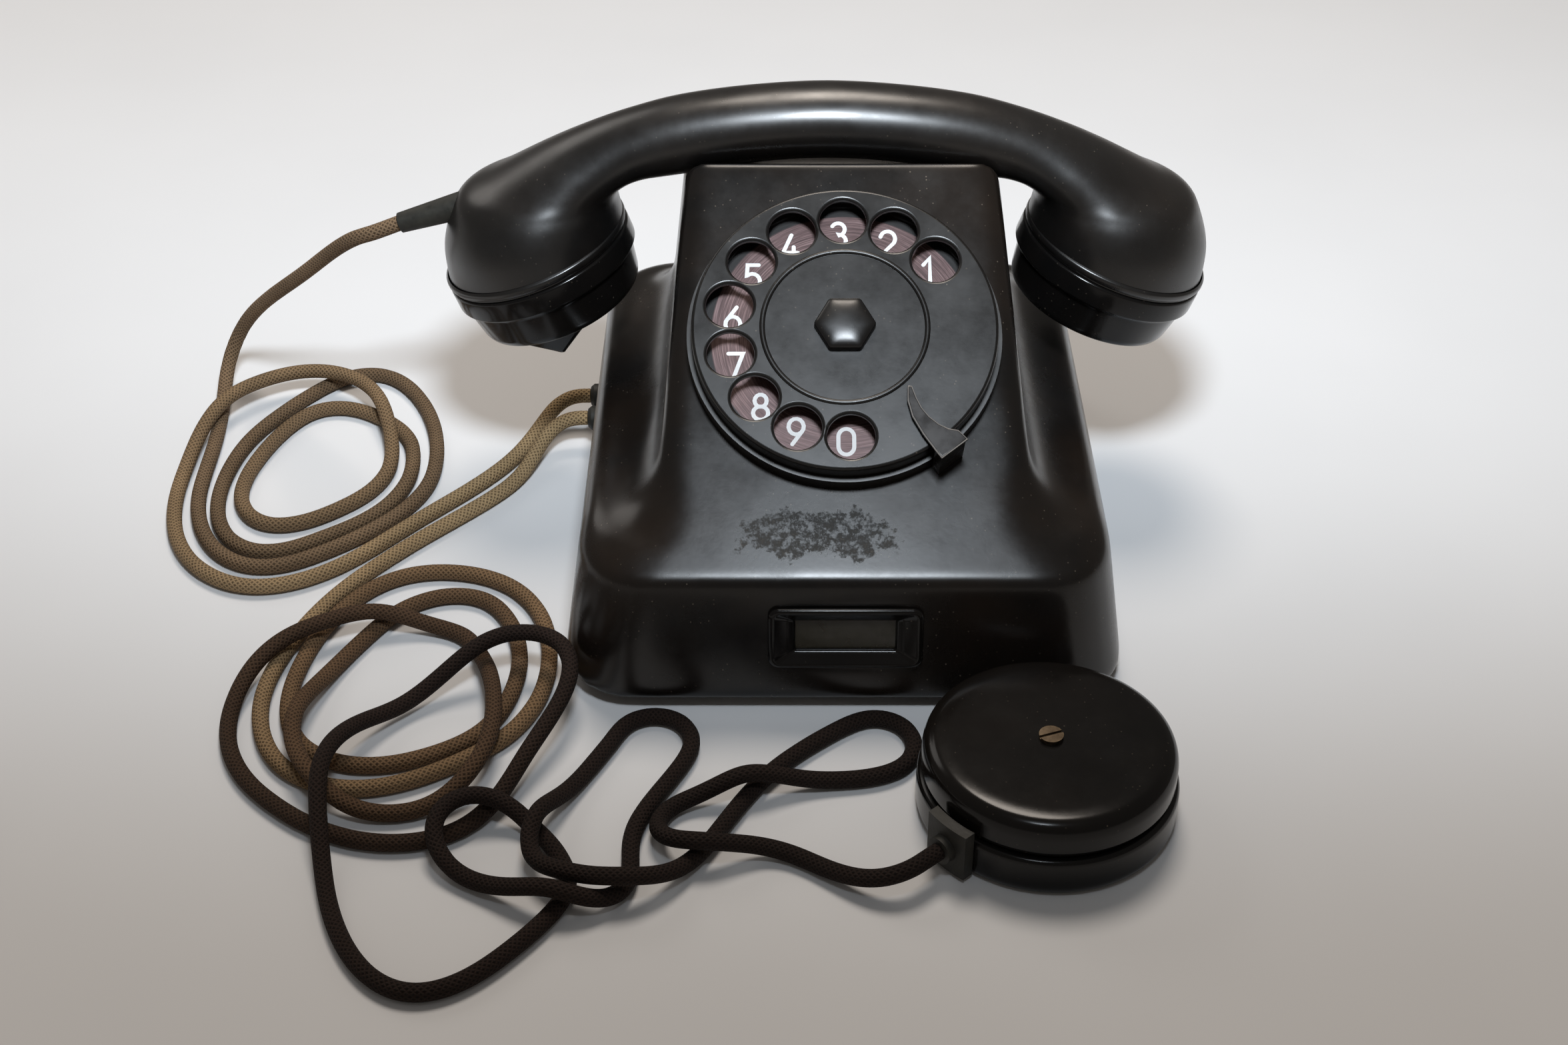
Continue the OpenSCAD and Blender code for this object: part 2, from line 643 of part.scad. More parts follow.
module second_gear() {
    color(brass)
    on_slope() translate([arbor_x, 0, 0]) difference() {
        rotate([0, 0, governor_turn]) gear(second_teeth, second_gear_top - second_gear_t, second_gear_top);
        disc(arbor_r, -can_depth, 0);
    }
}

// Three-lobed cam that opens the pulse contacts
module pulse_cam() {
    color([0.3, 0.2, 0.12])
    on_slope() translate([arbor_x, 0, 0]) difference() {
        union() {
            disc(cam_r - 2, cam_top - cam_t, cam_top);
            for (i = [0 : 2]) rotate([0, 0, 30 + 120 * i]) translate([cam_r - 2.5, 0, 0])
                disc(2.5, cam_top - cam_t, cam_top);
        }
        disc(arbor_r, -can_depth, 0);
    }
}

module governor_arbor() {
    color(steel)
    on_slope() translate(governor_at) {
        disc(arbor_r, -can_depth, bridge_top);
        rotate([0, 0, governor_turn + 180 + 180 / pinion_teeth])
            gear(pinion_teeth, second_gear_top - second_gear_t - 0.5, second_gear_top + 0.5);
    }
}

module governor_weights() {
    color(brass)
    on_slope() translate(governor_at) difference() {
        disc(weight_r, can_floor + 0.5, second_gear_top - second_gear_t - 1);
        disc(arbor_r, -can_depth, 0);
        for (sx = [-1, 1]) translate([sx * weight_r, 0, 0]) disc(2.6, -can_depth, 0);
    }
}

// Cradle switch: a frame under the trough guides two plungers on a yoke
hook_leg = 2;
hook_half = plunger_x + 9;
hook_half_d = 6;
hook_top = inner_top - seat_gap;
hook_plate_t = 2.5;
hook_floor = 58;
yoke_z = [hook_floor + 14, hook_floor + 18];
bush_r = plunger_r + 2.5;
bush_len = 10;
tip_bevel = 1.5;

module at_plungers() {
    for (sx = [-1, 1]) translate([sx * plunger_x, trough_y, 0]) children();
}

module hook_frame() {
    color(steel)
    difference() {
        union() {
            translate([0, trough_y, 0]) {
                block([-1, 1] * hook_half, [-1, 1] * hook_half_d, [hook_top - hook_plate_t, hook_top]);
                block([-1, 1] * hook_half, [-1, 1] * hook_half_d, [hook_floor - hook_plate_t, hook_floor]);
                for (sx = [-1, 1])
                    translate([sx * (hook_half - hook_leg / 2), 0, 0])
                        block([-1, 1] * hook_leg / 2, [-1, 1] * hook_half_d, [hook_floor - 1, hook_top - 1]);
            }
            at_plungers() disc(bush_r, hook_top - bush_len, hook_top);
        }
        at_plungers() disc(plunger_r + run_gap, hook_top - bush_len - 1, hook_top + 1);
    }
}

module hook_spring() {
    color(steel) translate([0, trough_y, 0]) ring(5, 3.4, hook_floor, yoke_z[0] - seat_gap);
}

contacts_x = [14, 26];
contacts_h = 8;
module hook_contacts() {
    color(card) translate([0, trough_y, 0]) block(contacts_x, [-1, 1] * 4, [hook_floor, hook_floor + contacts_h]);
}

module hook_plungers() {
    color(black)
    at_plungers() rotate_extrude() polygon([
        [0, yoke_z[1]], [plunger_r, yoke_z[1]], [plunger_r, plunger_top - tip_bevel],
        [plunger_r - tip_bevel, plunger_top], [0, plunger_top]
    ]);
}

module hook_yoke() {
    color(steel) translate([0, trough_y, 0]) block([-1, 1] * (plunger_x + plunger_r), [-1, 1] * 4, yoke_z);
}

// Ringer: two gongs on posts, a pair of coils and a clapper on a pivot pin
gong_y = 48;
gong_foot = 31;
gong_t = 1.5;
post_r = 4;
gong_screw_r = 2;
pivot_y = 16;
pivot_r = 1.5;
clapper_z = gong_foot + 3;
clapper_half_h = 4;
hub_out = 4;
armature_half = 16;
armature_t = 2;
coil_x = 11;
coil_r = 9;
coil_y = [-16, 7];
core_r = 3;
core_end = pivot_y - hub_out - armature_t - 2;
ringer_frame_t = 2;
ringer_deck = deck + ringer_frame_t;
core_plate_t = 3;

module at_gongs() {
    for (sx = [-1, 1]) translate([sx * gong_x, gong_y, 0]) children();
}

module ringer_frame() {
    color(steel) {
        difference() {
            union() {
                block([-1, 1] * (gong_x + 8), [coil_y[0] - core_plate_t, gong_y + 10], [deck, ringer_deck]);
                at_gongs() disc(post_r, deck + 1, gong_foot + gong_h - gong_t);
            }
            at_gongs() disc(gong_screw_r, gong_foot - 4, gong_foot + gong_h);
        }
        translate([0, pivot_y, 0]) {
            disc(pivot_r, deck + 1, clapper_z + clapper_half_h + 1);
            disc(hub_out, deck + 1, clapper_z - clapper_half_h - seat_gap);
        }
    }
}

module ringer_coils() {
    color(copper)
    for (sx = [-1, 1]) translate([sx * coil_x, 0, clapper_z]) rotate([-90, 0, 0])
        ring(coil_r, core_r, coil_y[0], coil_y[1]);
}

module ringer_cores() {
    color(steel) {
        for (sx = [-1, 1]) translate([sx * coil_x, 0, clapper_z]) rotate([-90, 0, 0])
            disc(core_r, coil_y[0] - 1, core_end);
        block([-1, 1] * (coil_x + coil_r), [coil_y[0] - core_plate_t, coil_y[0]],
              [ringer_deck, clapper_z + coil_r]);
    }
}

module gongs() {
    edge = 6;
    color(brass)
    at_gongs() translate([0, 0, gong_foot]) difference() {
        rotate_extrude() difference() {
            union() {
                square([gong_r - edge, gong_h]);
                square([gong_r, gong_h - edge]);
                translate([gong_r - edge, gong_h - edge]) circle(r = edge);
            }
            square([gong_r - edge, gong_h - gong_t]);
            square([gong_r - gong_t, gong_h - edge]);
            translate([gong_r - edge, gong_h - edge]) circle(r = edge - gong_t);
            translate([-far, -far / 2]) square(far);
        }
        disc(gong_screw_r, 0, gong_h + 1);
    }
}

module gong_screws() {
    color(steel)
    at_gongs() {
        disc(gong_screw_r, gong_foot - 3, gong_foot + gong_h);
        disc(2 * gong_screw_r, gong_foot + gong_h, gong_foot + gong_h + 2);
    }
}

module clapper() {
    color(steel)
    translate([0, pivot_y, clapper_z]) difference() {
        union() {
            disc(hub_out, -clapper_half_h, clapper_half_h);
            block([-1, 1] * armature_half, [-hub_out - armature_t, -hub_out + 0.5], [-1, 1] * clapper_half_h);
            block([-1, 1], [-hub_out, 0], [-1, 1] * clapper_half_h);
            translate([0, hub_out - 1, 0]) rotate([-90, 0, 0]) disc(1.2, 0, gong_y - pivot_y - hub_out + 1);
            translate([0, gong_y - pivot_y, 0]) sphere(r = ball_r);
        }
        disc(pivot_r + run_gap, -far / 4, far / 4);
    }
}

// Circuit pieces on the base plate
condenser_out = base_w / 2 - 12;
condenser_w = 24;
condenser_y = [-32, 20];
condenser_h = 30;
module condenser() {
    color(steel) block([-condenser_out, condenser_w - condenser_out], condenser_y, [deck, deck + condenser_h]);
}

coil_mid = [base_w / 2 - 24, -8];
winding_r = 11;
cheek = 26;
winding_half = 24;
cheek_t = 3;

module at_coil() {
    translate([coil_mid[0], coil_mid[1], deck + cheek / 2]) rotate([-90, 0, 0]) children();
}

module induction_coil() {
    color(copper) at_coil() disc(winding_r, -winding_half, winding_half);
}

module coil_cheeks() {
    color([0.3, 0.2, 0.12])
    at_coil() for (s = [-1, 1]) translate([0, 0, s * (winding_half + cheek_t / 2)])
        block([-1, 1] * cheek / 2, [-1, 1] * cheek / 2, [-1, 1] * cheek_t / 2);
}

terminal_y = -54;
terminal_h = 12;
terminal_top = deck + terminal_h;
terminal_step = 9;

module terminal_block() {
    color([0.3, 0.2, 0.12]) translate([0, terminal_y, 0])
        block([-1, 1] * 3.5 * terminal_step, [-1, 1] * 8, [deck, terminal_top]);
}

module terminal_screws() {
    color(brass)
    for (i = [-2.5 : 2.5], sy = [-1, 1])
        translate([i * terminal_step, terminal_y + 4 * sy, 0]) disc(2.4, terminal_top, terminal_top + 2);
}

clamp_x = wall + gland_in - side_x(gland_z);
clamp_w = 10;
module cord_clamp() {
    color(steel)
    block([clamp_x, clamp_x + clamp_w], [receiver_gland_y - 6, handset_gland_y - 2], [deck, gland_z + gland_r]);
}

// Tapered gland through the left wall, with a collar inside
module gland(y) {
    translate([-side_x(gland_z), y, gland_z]) rotate([0, -90, 0]) {
        disc(gland_r, -wall - gland_in, 1);
        translate([0, 0, 1]) cylinder(r1 = gland_r, r2 = gland_r - 1, h = gland_reach - 1 - seat_gap);
    }
}

module handset_gland() {
    color(black) gland(handset_gland_y);
}

module receiver_gland() {
    color(black) gland(receiver_gland_y);
}

module handset_cord() {
    color([0.45, 0.38, 0.26]) tube(handset_run, cord_d / 2);
}

module receiver_cord() {
    color([0.3, 0.22, 0.16]) tube(receiver_run, cord_d / 2);
}

// Handset: half sections from the cap seat to the middle, each
// [outer distance, outer height, inner distance, inner height, half width], distances from the middle
seat_half = cap_r - 0.5;
half_sections = [
    [cap_x + seat_half * cos(cap_tilt), cap_z - seat_half * sin(cap_tilt),
     cap_x - seat_half * cos(cap_tilt), cap_z + seat_half * sin(cap_tilt), seat_half],
    [cap_x + 29.5, cap_z + 2.8, cap_x - 27.4, cap_z + 15.8, 29],
    [cap_x + 26.6, cap_z + 13.8, cap_x - 26.9, cap_z + 19.8, 26.5],
    [cap_x + 22.6, cap_z + 20.8, cap_x - 27.9, cap_z + 22.8, 23.5],
    [cap_x + 12.6, cap_z + 26.3, cap_x - 29.9, cap_z + 25, 20.5],
    [cap_x - 3.9, cap_z + 35.6, cap_x - 33.4, cap_z + 26.6, 17],
    [cap_x - 17.9, cap_z + 42.4, cap_x - 37.4, cap_z + 27.2, 14.6],
    [61, cap_z + 47.8, 51, cap_z + 27.4, 13.6],
    [45, cap_z + 52.3, 43, cap_z + 28.5, 13.4],
    [24, cap_z + 55.3, 23, cap_z + 32.2, 13.4],
    [0, cap_z + 56.7, 0, cap_z + 33.8, 13.4]
];
half_last = len(half_sections) - 1;
function flip(s) = [-s[0], s[1], -s[2], s[3], s[4]];
all_sections = concat(half_sections, [for (i = [half_last - 1 : -1 : 0]) flip(half_sections[i])]);
function ease(a, b, c, d, t) =
    0.5 * (2 * b + (c - a) * t + (2 * a - 5 * b + 4 * c - d) * t * t + (3 * b - a - 3 * c + d) * t * t * t);
section_steps = 2;
sections = concat(
    [for (i = [0 : len(all_sections) - 2], s = [0 : section_steps - 1])
        ease(all_sections[max(i - 1, 0)], all_sections[i], all_sections[i + 1],
             all_sections[min(i + 2, len(all_sections) - 1)], s / section_steps)],
    [all_sections[len(all_sections) - 1]]);
section_sides = 24;
// The plungers end just under the grip
grip_under = [for (s = half_sections) if (s[2] < 52) [s[2], s[3]]];
plunger_top = lookup(plunger_x + handset_left + plunger_r, grip_under) - seat_gap;

// Oval outline across the handset, in the plane of the section's two points
function oval(s) = [
    for (k = [0 : section_sides - 1])
        let (a = 360 * k / section_sides,
             up = 0.5 + 0.5 * cos(a))
        [-handset_left - mix(s[2], s[0], up), handset_y - s[4] * sin(a), mix(s[3], s[1], up)]
];

module at_cap(side) {
    translate([-handset_left + side * cap_x, handset_y, cap_z]) rotate([0, 180 + side * cap_tilt, 0]) children();
}

capsule_r = 25;
capsule_h = 14;
pocket_r = 26;
pocket_depth = 10;
cap_wall = 3;
cap_band = 8;
cap_step = 1.7;
cap_face_r = cap_r - 5.5;

module handset_shell() {
    color(black)
    difference() {
        loft([for (s = sections) oval(s)]);
        for (side = [-1, 1]) at_cap(side) disc(pocket_r, -pocket_depth, 1);
        on_sleeve() disc(sleeve_r + sleeve_gap, 0, far / 8);
    }
}

// Screw cap: a band, a step, a drawn-in wall and a flat face, open towards the handset
module cap() {
    rotate_extrude() polygon([
        [0, cap_h - cap_wall], [cap_face_r - 2, cap_h - cap_wall], [cap_r - cap_wall - cap_step, cap_band],
        [cap_r - cap_wall, cap_band - 1], [cap_r - cap_wall, seat_gap], [cap_r - 1, seat_gap],
        [cap_r, seat_gap + 1], [cap_r, cap_band - 0.4], [cap_r - cap_step, cap_band + 0.5],
        [cap_face_r + 2, cap_h - 2], [cap_face_r + 1.3, cap_h - 0.6], [cap_face_r, cap_h], [0, cap_h]
    ]);
}

hood_half = 12;
hood_wall = 2;
hood_x = [-17, 17];
hood_tip = [5, cap_h + hood_h];
hood_lip = hood_tip + [11, -8.5];
mouth_run = hood_lip - hood_tip;
mouth_turn = atan2(-mouth_run[1], mouth_run[0]);
// Local +X of a cap points to its outer side; the hood's mouth is a slanting flat from its tip to its lip
module hood_form(inset) {
    mid = (hood_tip + hood_lip) / 2;
    hull() {
        block(hood_x + [inset, -inset], [-1, 1] * (hood_half - inset), [cap_h - 2, cap_h - 1]);
        translate([mid[0], 0, mid[1]]) rotate([0, mouth_turn, 0])
            block([-1, 1] * (norm(mouth_run) / 2 - inset), [-1, 1] * (hood_half - 3 - inset), [-1, 0]);
    }
}

module mouthpiece_cap() {
    color(black)
    at_cap(-1) difference() {
        union() {
            cap();
            difference() {
                hood_form(0);
                translate(hood_wall * [sin(mouth_turn), 0, cos(mouth_turn)]) hood_form(hood_wall);
            }
        }
        for (i = [0 : 5]) rotate([0, 0, 60 * i]) translate([5, 0, 0]) disc(1.5, cap_h - 2 * cap_wall, cap_h + 2);
    }
}

module earpiece_cap() {
    color(black)
    at_cap(1) difference() {
        cap();
        disc(1.6, cap_h - 2 * cap_wall, cap_h + 1);
        for (i = [0 : 7]) rotate([0, 0, 45 * i]) translate([9, 0, 0]) disc(1.6, cap_h - 2 * cap_wall, cap_h + 1);
    }
}

capsule_top = cap_h - cap_wall - 9;
capsule_boss_r = 17;
module capsule() {
    disc(capsule_r, capsule_top - capsule_h, capsule_top);
    disc(capsule_boss_r, capsule_top - 1, cap_h - cap_wall - seat_gap);
}

module transmitter_capsule() {
    color(steel) at_cap(-1) capsule();
}

module receiver_capsule() {
    color(steel) at_cap(1) capsule();
}

module capsule_springs() {
    color(brass)
    for (side = [-1, 1]) at_cap(side) ring(8, 5, -pocket_depth, capsule_top - capsule_h);
}

// Tapered sleeve where the cord leaves the left head, along the cord's last stretch
sleeve_r = 4.6;
sleeve_gap = 0.1;

module on_sleeve() {
    translate(sleeve_from)
        rotate([0, 0, atan2(sleeve_run[1], sleeve_run[0])])
            rotate([0, atan2(norm([sleeve_run[0], sleeve_run[1]]), sleeve_run[2]), 0])
                children();
}

module cord_sleeve() {
    color(black)
    on_sleeve() cylinder(r1 = sleeve_r, r2 = cord_d / 2 + 0.8, h = norm(sleeve_run) - seat_gap);
}

// Listening receiver that lies face down in front of the telephone
listener_seam = 13;
listener_wall = 3;
cover_r = listener_r - 1.2;
cover_edge = 5;
bush_turn = atan2(receiver_route[len(receiver_route) - 1][1] + listener_front,
                  receiver_route[len(receiver_route) - 1][0] - listener_x);
bush_end = norm([receiver_route[len(receiver_route) - 1][0] - listener_x,
                 receiver_route[len(receiver_route) - 1][1] + listener_front]);
listener_bush_z = 9;
listener_bush_r = 4;
tile_t = 3.6;
tile_half = 7;
tile_z = [1.5, 17];
listener_screw_r = 3.4;
listener_shank_r = 2;

module at_listener() {
    translate([listener_x, -listener_front, 0]) children();
}

module listener_cap() {
    color(black)
    at_listener() difference() {
        rotate_extrude() polygon([
            [0, 0], [listener_r - 3, 0], [listener_r - 0.8, 1], [listener_r, 3], [listener_r, listener_seam - 1], [listener_r - 0.8, listener_seam],
            [listener_r - listener_wall, listener_seam], [listener_r - listener_wall, listener_wall], [0, listener_wall]
        ]);
        disc(1.6, -1, listener_wall + 1);
        for (i = [0 : 5]) rotate([0, 0, 60 * i]) translate([8, 0, 0]) disc(1.6, -1, listener_wall + 1);
    }
}

module listener_cover() {
    color(black)
    at_listener() difference() {
        rotate_extrude() difference() {
            union() {
                translate([0, listener_seam]) square([cover_r - 1, 1]);
                translate([0, listener_seam + 1]) square([cover_r, listener_h - cover_edge - listener_seam - 1]);
                translate([0, listener_seam]) square([cover_r - cover_edge, listener_h - listener_seam]);
                translate([cover_r - cover_edge, listener_h - cover_edge]) circle(r = cover_edge);
            }
            translate([0, listener_seam - 1]) square([cover_r - cover_edge, listener_h - listener_seam - listener_wall + 1]);
            translate([0, listener_seam - 1]) square([cover_r - listener_wall, listener_h - listener_seam - cover_edge + 1]);
        }
        disc(listener_shank_r, listener_seam, listener_h + 1);
    }
}

module listener_screw() {
    color(brass)
    at_listener() difference() {
        union() {
            disc(listener_screw_r, listener_h, listener_h + 1.2);
            disc(listener_shank_r, listener_h - 8, listener_h + 0.5);
        }
        rotate([0, 0, 20])
            block([-far / 4, far / 4], [-0.5, 0.5], [listener_h + 0.6, listener_h + 3]);
    }
}

module listener_magnet() {
    color(steel) at_listener() ring(listener_r - listener_wall - 4, 17, listener_wall + 1, listener_seam + 3);
}

module listener_coils() {
    color(copper)
    at_listener() {
        for (sx = [-1, 1]) translate([sx * 6, 0, 0]) disc(4.5, listener_wall + 2, listener_seam);
        ring(17, 2, listener_seam - 1, listener_seam + 3);
    }
}

module listener_diaphragm() {
    color(steel) at_listener() disc(listener_r - listener_wall - seat_gap, listener_wall, listener_wall + 0.8);
}

// Curved tile on the receiver's side, with the cord's collar
module listener_bush() {
    color([0.2, 0.22, 0.2])
    at_listener() rotate([0, 0, bush_turn]) {
        intersection() {
            ring(listener_r + tile_t, listener_r + seat_gap, tile_z[0], tile_z[1]);
            block([0, far / 4], [-1, 1] * tile_half, [0, far / 4]);
        }
        translate([0, 0, listener_bush_z]) rotate([0, 90, 0])
            disc(listener_bush_r, listener_r + tile_t / 2, bush_end - seat_gap);
    }
}

housing_shell();
base_plate();
base_pad();
base_screws();
window_frame();
window_pane();
number_card();
dial_case();
number_plate();
finger_stop();
dial_bridge();
return_spring();
pulse_contacts();
finger_wheel();
hex_nut();
dial_shaft();
main_gear();
pulse_arbor();
second_gear();
pulse_cam();
governor_arbor();
governor_weights();
hook_frame();
hook_spring();
hook_contacts();
hook_plungers();
hook_yoke();
ringer_frame();
ringer_coils();
ringer_cores();
gongs();
gong_screws();
clapper();
condenser();
induction_coil();
coil_cheeks();
terminal_block();
terminal_screws();
cord_clamp();
handset_gland();
receiver_gland();
handset_cord();
receiver_cord();
handset_shell();
mouthpiece_cap();
earpiece_cap();
transmitter_capsule();
receiver_capsule();
capsule_springs();
cord_sleeve();
listener_cap();
listener_cover();
listener_screw();
listener_magnet();
listener_coils();
listener_diaphragm();
listener_bush();
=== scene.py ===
"""Looks of a rotary desk telephone with a second listening receiver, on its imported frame."""

import json
import math

import bpy
from mathutils import Matrix, Vector


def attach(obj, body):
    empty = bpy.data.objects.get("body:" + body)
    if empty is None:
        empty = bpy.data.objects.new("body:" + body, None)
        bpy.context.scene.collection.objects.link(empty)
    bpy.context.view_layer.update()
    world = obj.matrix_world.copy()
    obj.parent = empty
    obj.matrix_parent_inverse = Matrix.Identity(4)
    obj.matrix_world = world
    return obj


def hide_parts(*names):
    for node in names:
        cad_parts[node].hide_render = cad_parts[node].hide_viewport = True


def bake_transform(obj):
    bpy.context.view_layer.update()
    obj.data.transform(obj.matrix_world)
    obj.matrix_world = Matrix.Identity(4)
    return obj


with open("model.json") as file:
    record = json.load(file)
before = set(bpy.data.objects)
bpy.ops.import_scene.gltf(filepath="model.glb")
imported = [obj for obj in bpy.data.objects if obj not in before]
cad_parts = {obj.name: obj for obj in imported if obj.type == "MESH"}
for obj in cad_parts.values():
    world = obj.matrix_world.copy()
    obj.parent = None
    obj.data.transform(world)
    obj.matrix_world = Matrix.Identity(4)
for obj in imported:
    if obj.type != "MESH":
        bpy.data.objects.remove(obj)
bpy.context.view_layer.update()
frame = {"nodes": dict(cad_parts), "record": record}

MM = 0.001

# Camera

CAMERA_PLACE = (-0.0178, -0.578, 0.427)
CAMERA_TILT = 53.6
LENS = 50
SENSOR_WIDTH = 36


def link(obj):
    bpy.context.scene.collection.objects.link(obj)
    return obj


def add_camera():
    data = bpy.data.cameras.new("camera")
    data.lens = LENS
    data.sensor_width = SENSOR_WIDTH
    camera = link(bpy.data.objects.new("camera", data))
    camera.location = CAMERA_PLACE
    camera.rotation_euler = (math.radians(CAMERA_TILT), 0, 0)
    bpy.context.scene.camera = camera


add_camera()

# Shader nodes


def new_material(name):
    material = bpy.data.materials.new(name)
    material.use_nodes = True
    tree = material.node_tree
    return material, tree, tree.nodes["Principled BSDF"]


def add_node(tree, kind, inputs=None, **settings):
    made = tree.nodes.new(kind)
    for key, value in settings.items():
        setattr(made, key, value)
    for key, value in (inputs or {}).items():
        if isinstance(value, bpy.types.NodeSocket):
            tree.links.new(value, made.inputs[key])
        else:
            made.inputs[key].default_value = value
    return made


def math_node(tree, operation, first, second=0.0):
    return add_node(tree, "ShaderNodeMath", {0: first, 1: second}, operation=operation).outputs[0]


def ramp(tree, factor, stops):
    made = add_node(tree, "ShaderNodeValToRGB", {"Fac": factor})
    band = made.color_ramp
    while len(band.elements) < len(stops):
        band.elements.new(0.5)
    for element, (place, colour) in zip(band.elements, stops):
        element.position = place
        element.color = (*colour, 1)
    return made.outputs["Color"]


def grey(value):
    return (value, value, value)


def mix_colour(tree, factor, first, second):
    made = add_node(tree, "ShaderNodeMix", data_type="RGBA")
    for socket, value in ((made.inputs[0], factor), (made.inputs[6], first), (made.inputs[7], second)):
        if isinstance(value, bpy.types.NodeSocket):
            tree.links.new(value, socket)
        elif isinstance(value, tuple):
            socket.default_value = (*value, 1)
        else:
            socket.default_value = value
    return made.outputs[2]


def multiply_colour(tree, first, second):
    made = add_node(tree, "ShaderNodeMix", data_type="RGBA", blend_type="MULTIPLY")
    made.inputs[0].default_value = 1.0
    tree.links.new(first, made.inputs[6])
    tree.links.new(second, made.inputs[7])
    return made.outputs[2]


def noise(tree, vector, scale, detail, roughness=0.55):
    made = add_node(tree, "ShaderNodeTexNoise",
                    {"Vector": vector, "Scale": scale, "Detail": detail, "Roughness": roughness})
    return made.outputs["Fac"]


def bump(tree, shader, height, strength, distance):
    made = add_node(tree, "ShaderNodeBump", {"Height": height, "Strength": strength, "Distance": distance})
    tree.links.new(made.outputs["Normal"], shader.inputs["Normal"])


def object_place(tree):
    return add_node(tree, "ShaderNodeTexCoord").outputs["Object"]


# Materials

DEEP_BLACK = (0.0042, 0.004, 0.004)
DUST_COLOUR = (0.16, 0.13, 0.1)
DUST_CELLS = 420.0


def moulded_black(name, rough, shine, brown, dust, wear=None):
    """Black moulding with a brown cast, dust in its grain and uneven polish."""
    material, tree, shader = new_material(name)
    place = object_place(tree)
    cloud = noise(tree, place, 22.0, 5.0)
    worn = (0.006 + 0.009 * brown, 0.0055 + 0.0045 * brown, 0.005 + 0.002 * brown)
    colour = ramp(tree, cloud, [(0.35, DEEP_BLACK), (0.75, worn)])
    cells = add_node(tree, "ShaderNodeTexVoronoi", {"Vector": place, "Scale": DUST_CELLS})
    fleck = ramp(tree, cells.outputs["Distance"], [(0.06, grey(dust)), (0.12, grey(0.0))])
    patchy = ramp(tree, noise(tree, place, 60.0, 4.0), [(0.42, grey(0.0)), (0.68, grey(1.0))])
    colour = mix_colour(tree, math_node(tree, "MULTIPLY", fleck, patchy), colour, DUST_COLOUR)
    smear = noise(tree, place, 60.0, 6.0, 0.65)
    polish = ramp(tree, smear, [(0.3, grey(rough * 0.85)), (0.75, grey(rough * 1.3))])
    if wear:
        colour, polish = worn_patch(tree, place, colour, polish, wear)
    tree.links.new(colour, shader.inputs["Base Color"])
    tree.links.new(polish, shader.inputs["Roughness"])
    shader.inputs["Specular IOR Level"].default_value = shine
    bump(tree, shader, noise(tree, place, 700.0, 3.0), 0.016, 0.0004)
    return material


def worn_patch(tree, place, colour, polish, wear):
    """Scuffed, greyed patch with an uneven outline."""
    centre, turn, size = wear
    local = add_node(tree, "ShaderNodeMapping",
                     {"Vector": place, "Location": centre, "Rotation": turn, "Scale": size},
                     vector_type="TEXTURE").outputs["Vector"]
    inside = add_node(tree, "ShaderNodeTexGradient", {"Vector": local},
                      gradient_type="QUADRATIC_SPHERE").outputs["Fac"]
    torn = noise(tree, place, 120.0, 9.0, 0.75)
    edge = math_node(tree, "ADD", math_node(tree, "MULTIPLY", inside, 0.6),
                     math_node(tree, "MULTIPLY", torn, 0.75))
    mask = ramp(tree, edge, [(0.6, grey(0.0)), (0.64, grey(1.0))])
    flake = noise(tree, place, 420.0, 8.0, 0.8)
    grain = ramp(tree, flake, [(0.4, (0.003, 0.0028, 0.0026)), (0.54, (0.016, 0.0145, 0.012)),
                               (0.68, (0.085, 0.078, 0.068))])
    colour = mix_colour(tree, mask, colour, grain)
    rough = ramp(tree, flake, [(0.42, grey(0.3)), (0.56, grey(0.7))])
    polish = mix_colour(tree, mask, polish, rough)
    return colour, polish


SCRATCH_SCALE = 900.0


def metal(name, colour, rough, dirt=0.35):
    """Worn plated or plain metal with fine scratches."""
    material, tree, shader = new_material(name)
    place = object_place(tree)
    cloud = noise(tree, place, 130.0, 5.0)
    dark = tuple(c * (1 - dirt) for c in colour)
    tree.links.new(ramp(tree, cloud, [(0.35, dark), (0.65, colour)]), shader.inputs["Base Color"])
    scratch = noise(tree, place, SCRATCH_SCALE, 3.0)
    tree.links.new(ramp(tree, scratch, [(0.3, grey(rough * 0.7)), (0.7, grey(min(1.0, rough * 1.4)))]),
                   shader.inputs["Roughness"])
    shader.inputs["Metallic"].default_value = 1.0
    bump(tree, shader, scratch, 0.08, 0.0002)
    return material


def matt(name, light, dark, rough, scale, relief=0.3):
    """Matt sheet, fibre, felt or rubber with a mottled surface."""
    material, tree, shader = new_material(name)
    place = object_place(tree)
    grain = noise(tree, place, scale, 6.0, 0.65)
    tree.links.new(ramp(tree, grain, [(0.3, dark), (0.7, light)]), shader.inputs["Base Color"])
    tree.links.new(ramp(tree, grain, [(0.3, grey(rough * 0.85)), (0.7, grey(min(1.0, rough * 1.1)))]),
                   shader.inputs["Roughness"])
    bump(tree, shader, grain, relief, 0.0004)
    return material


BRAID_PITCH = 0.0017
BRAID_STARTS = 10


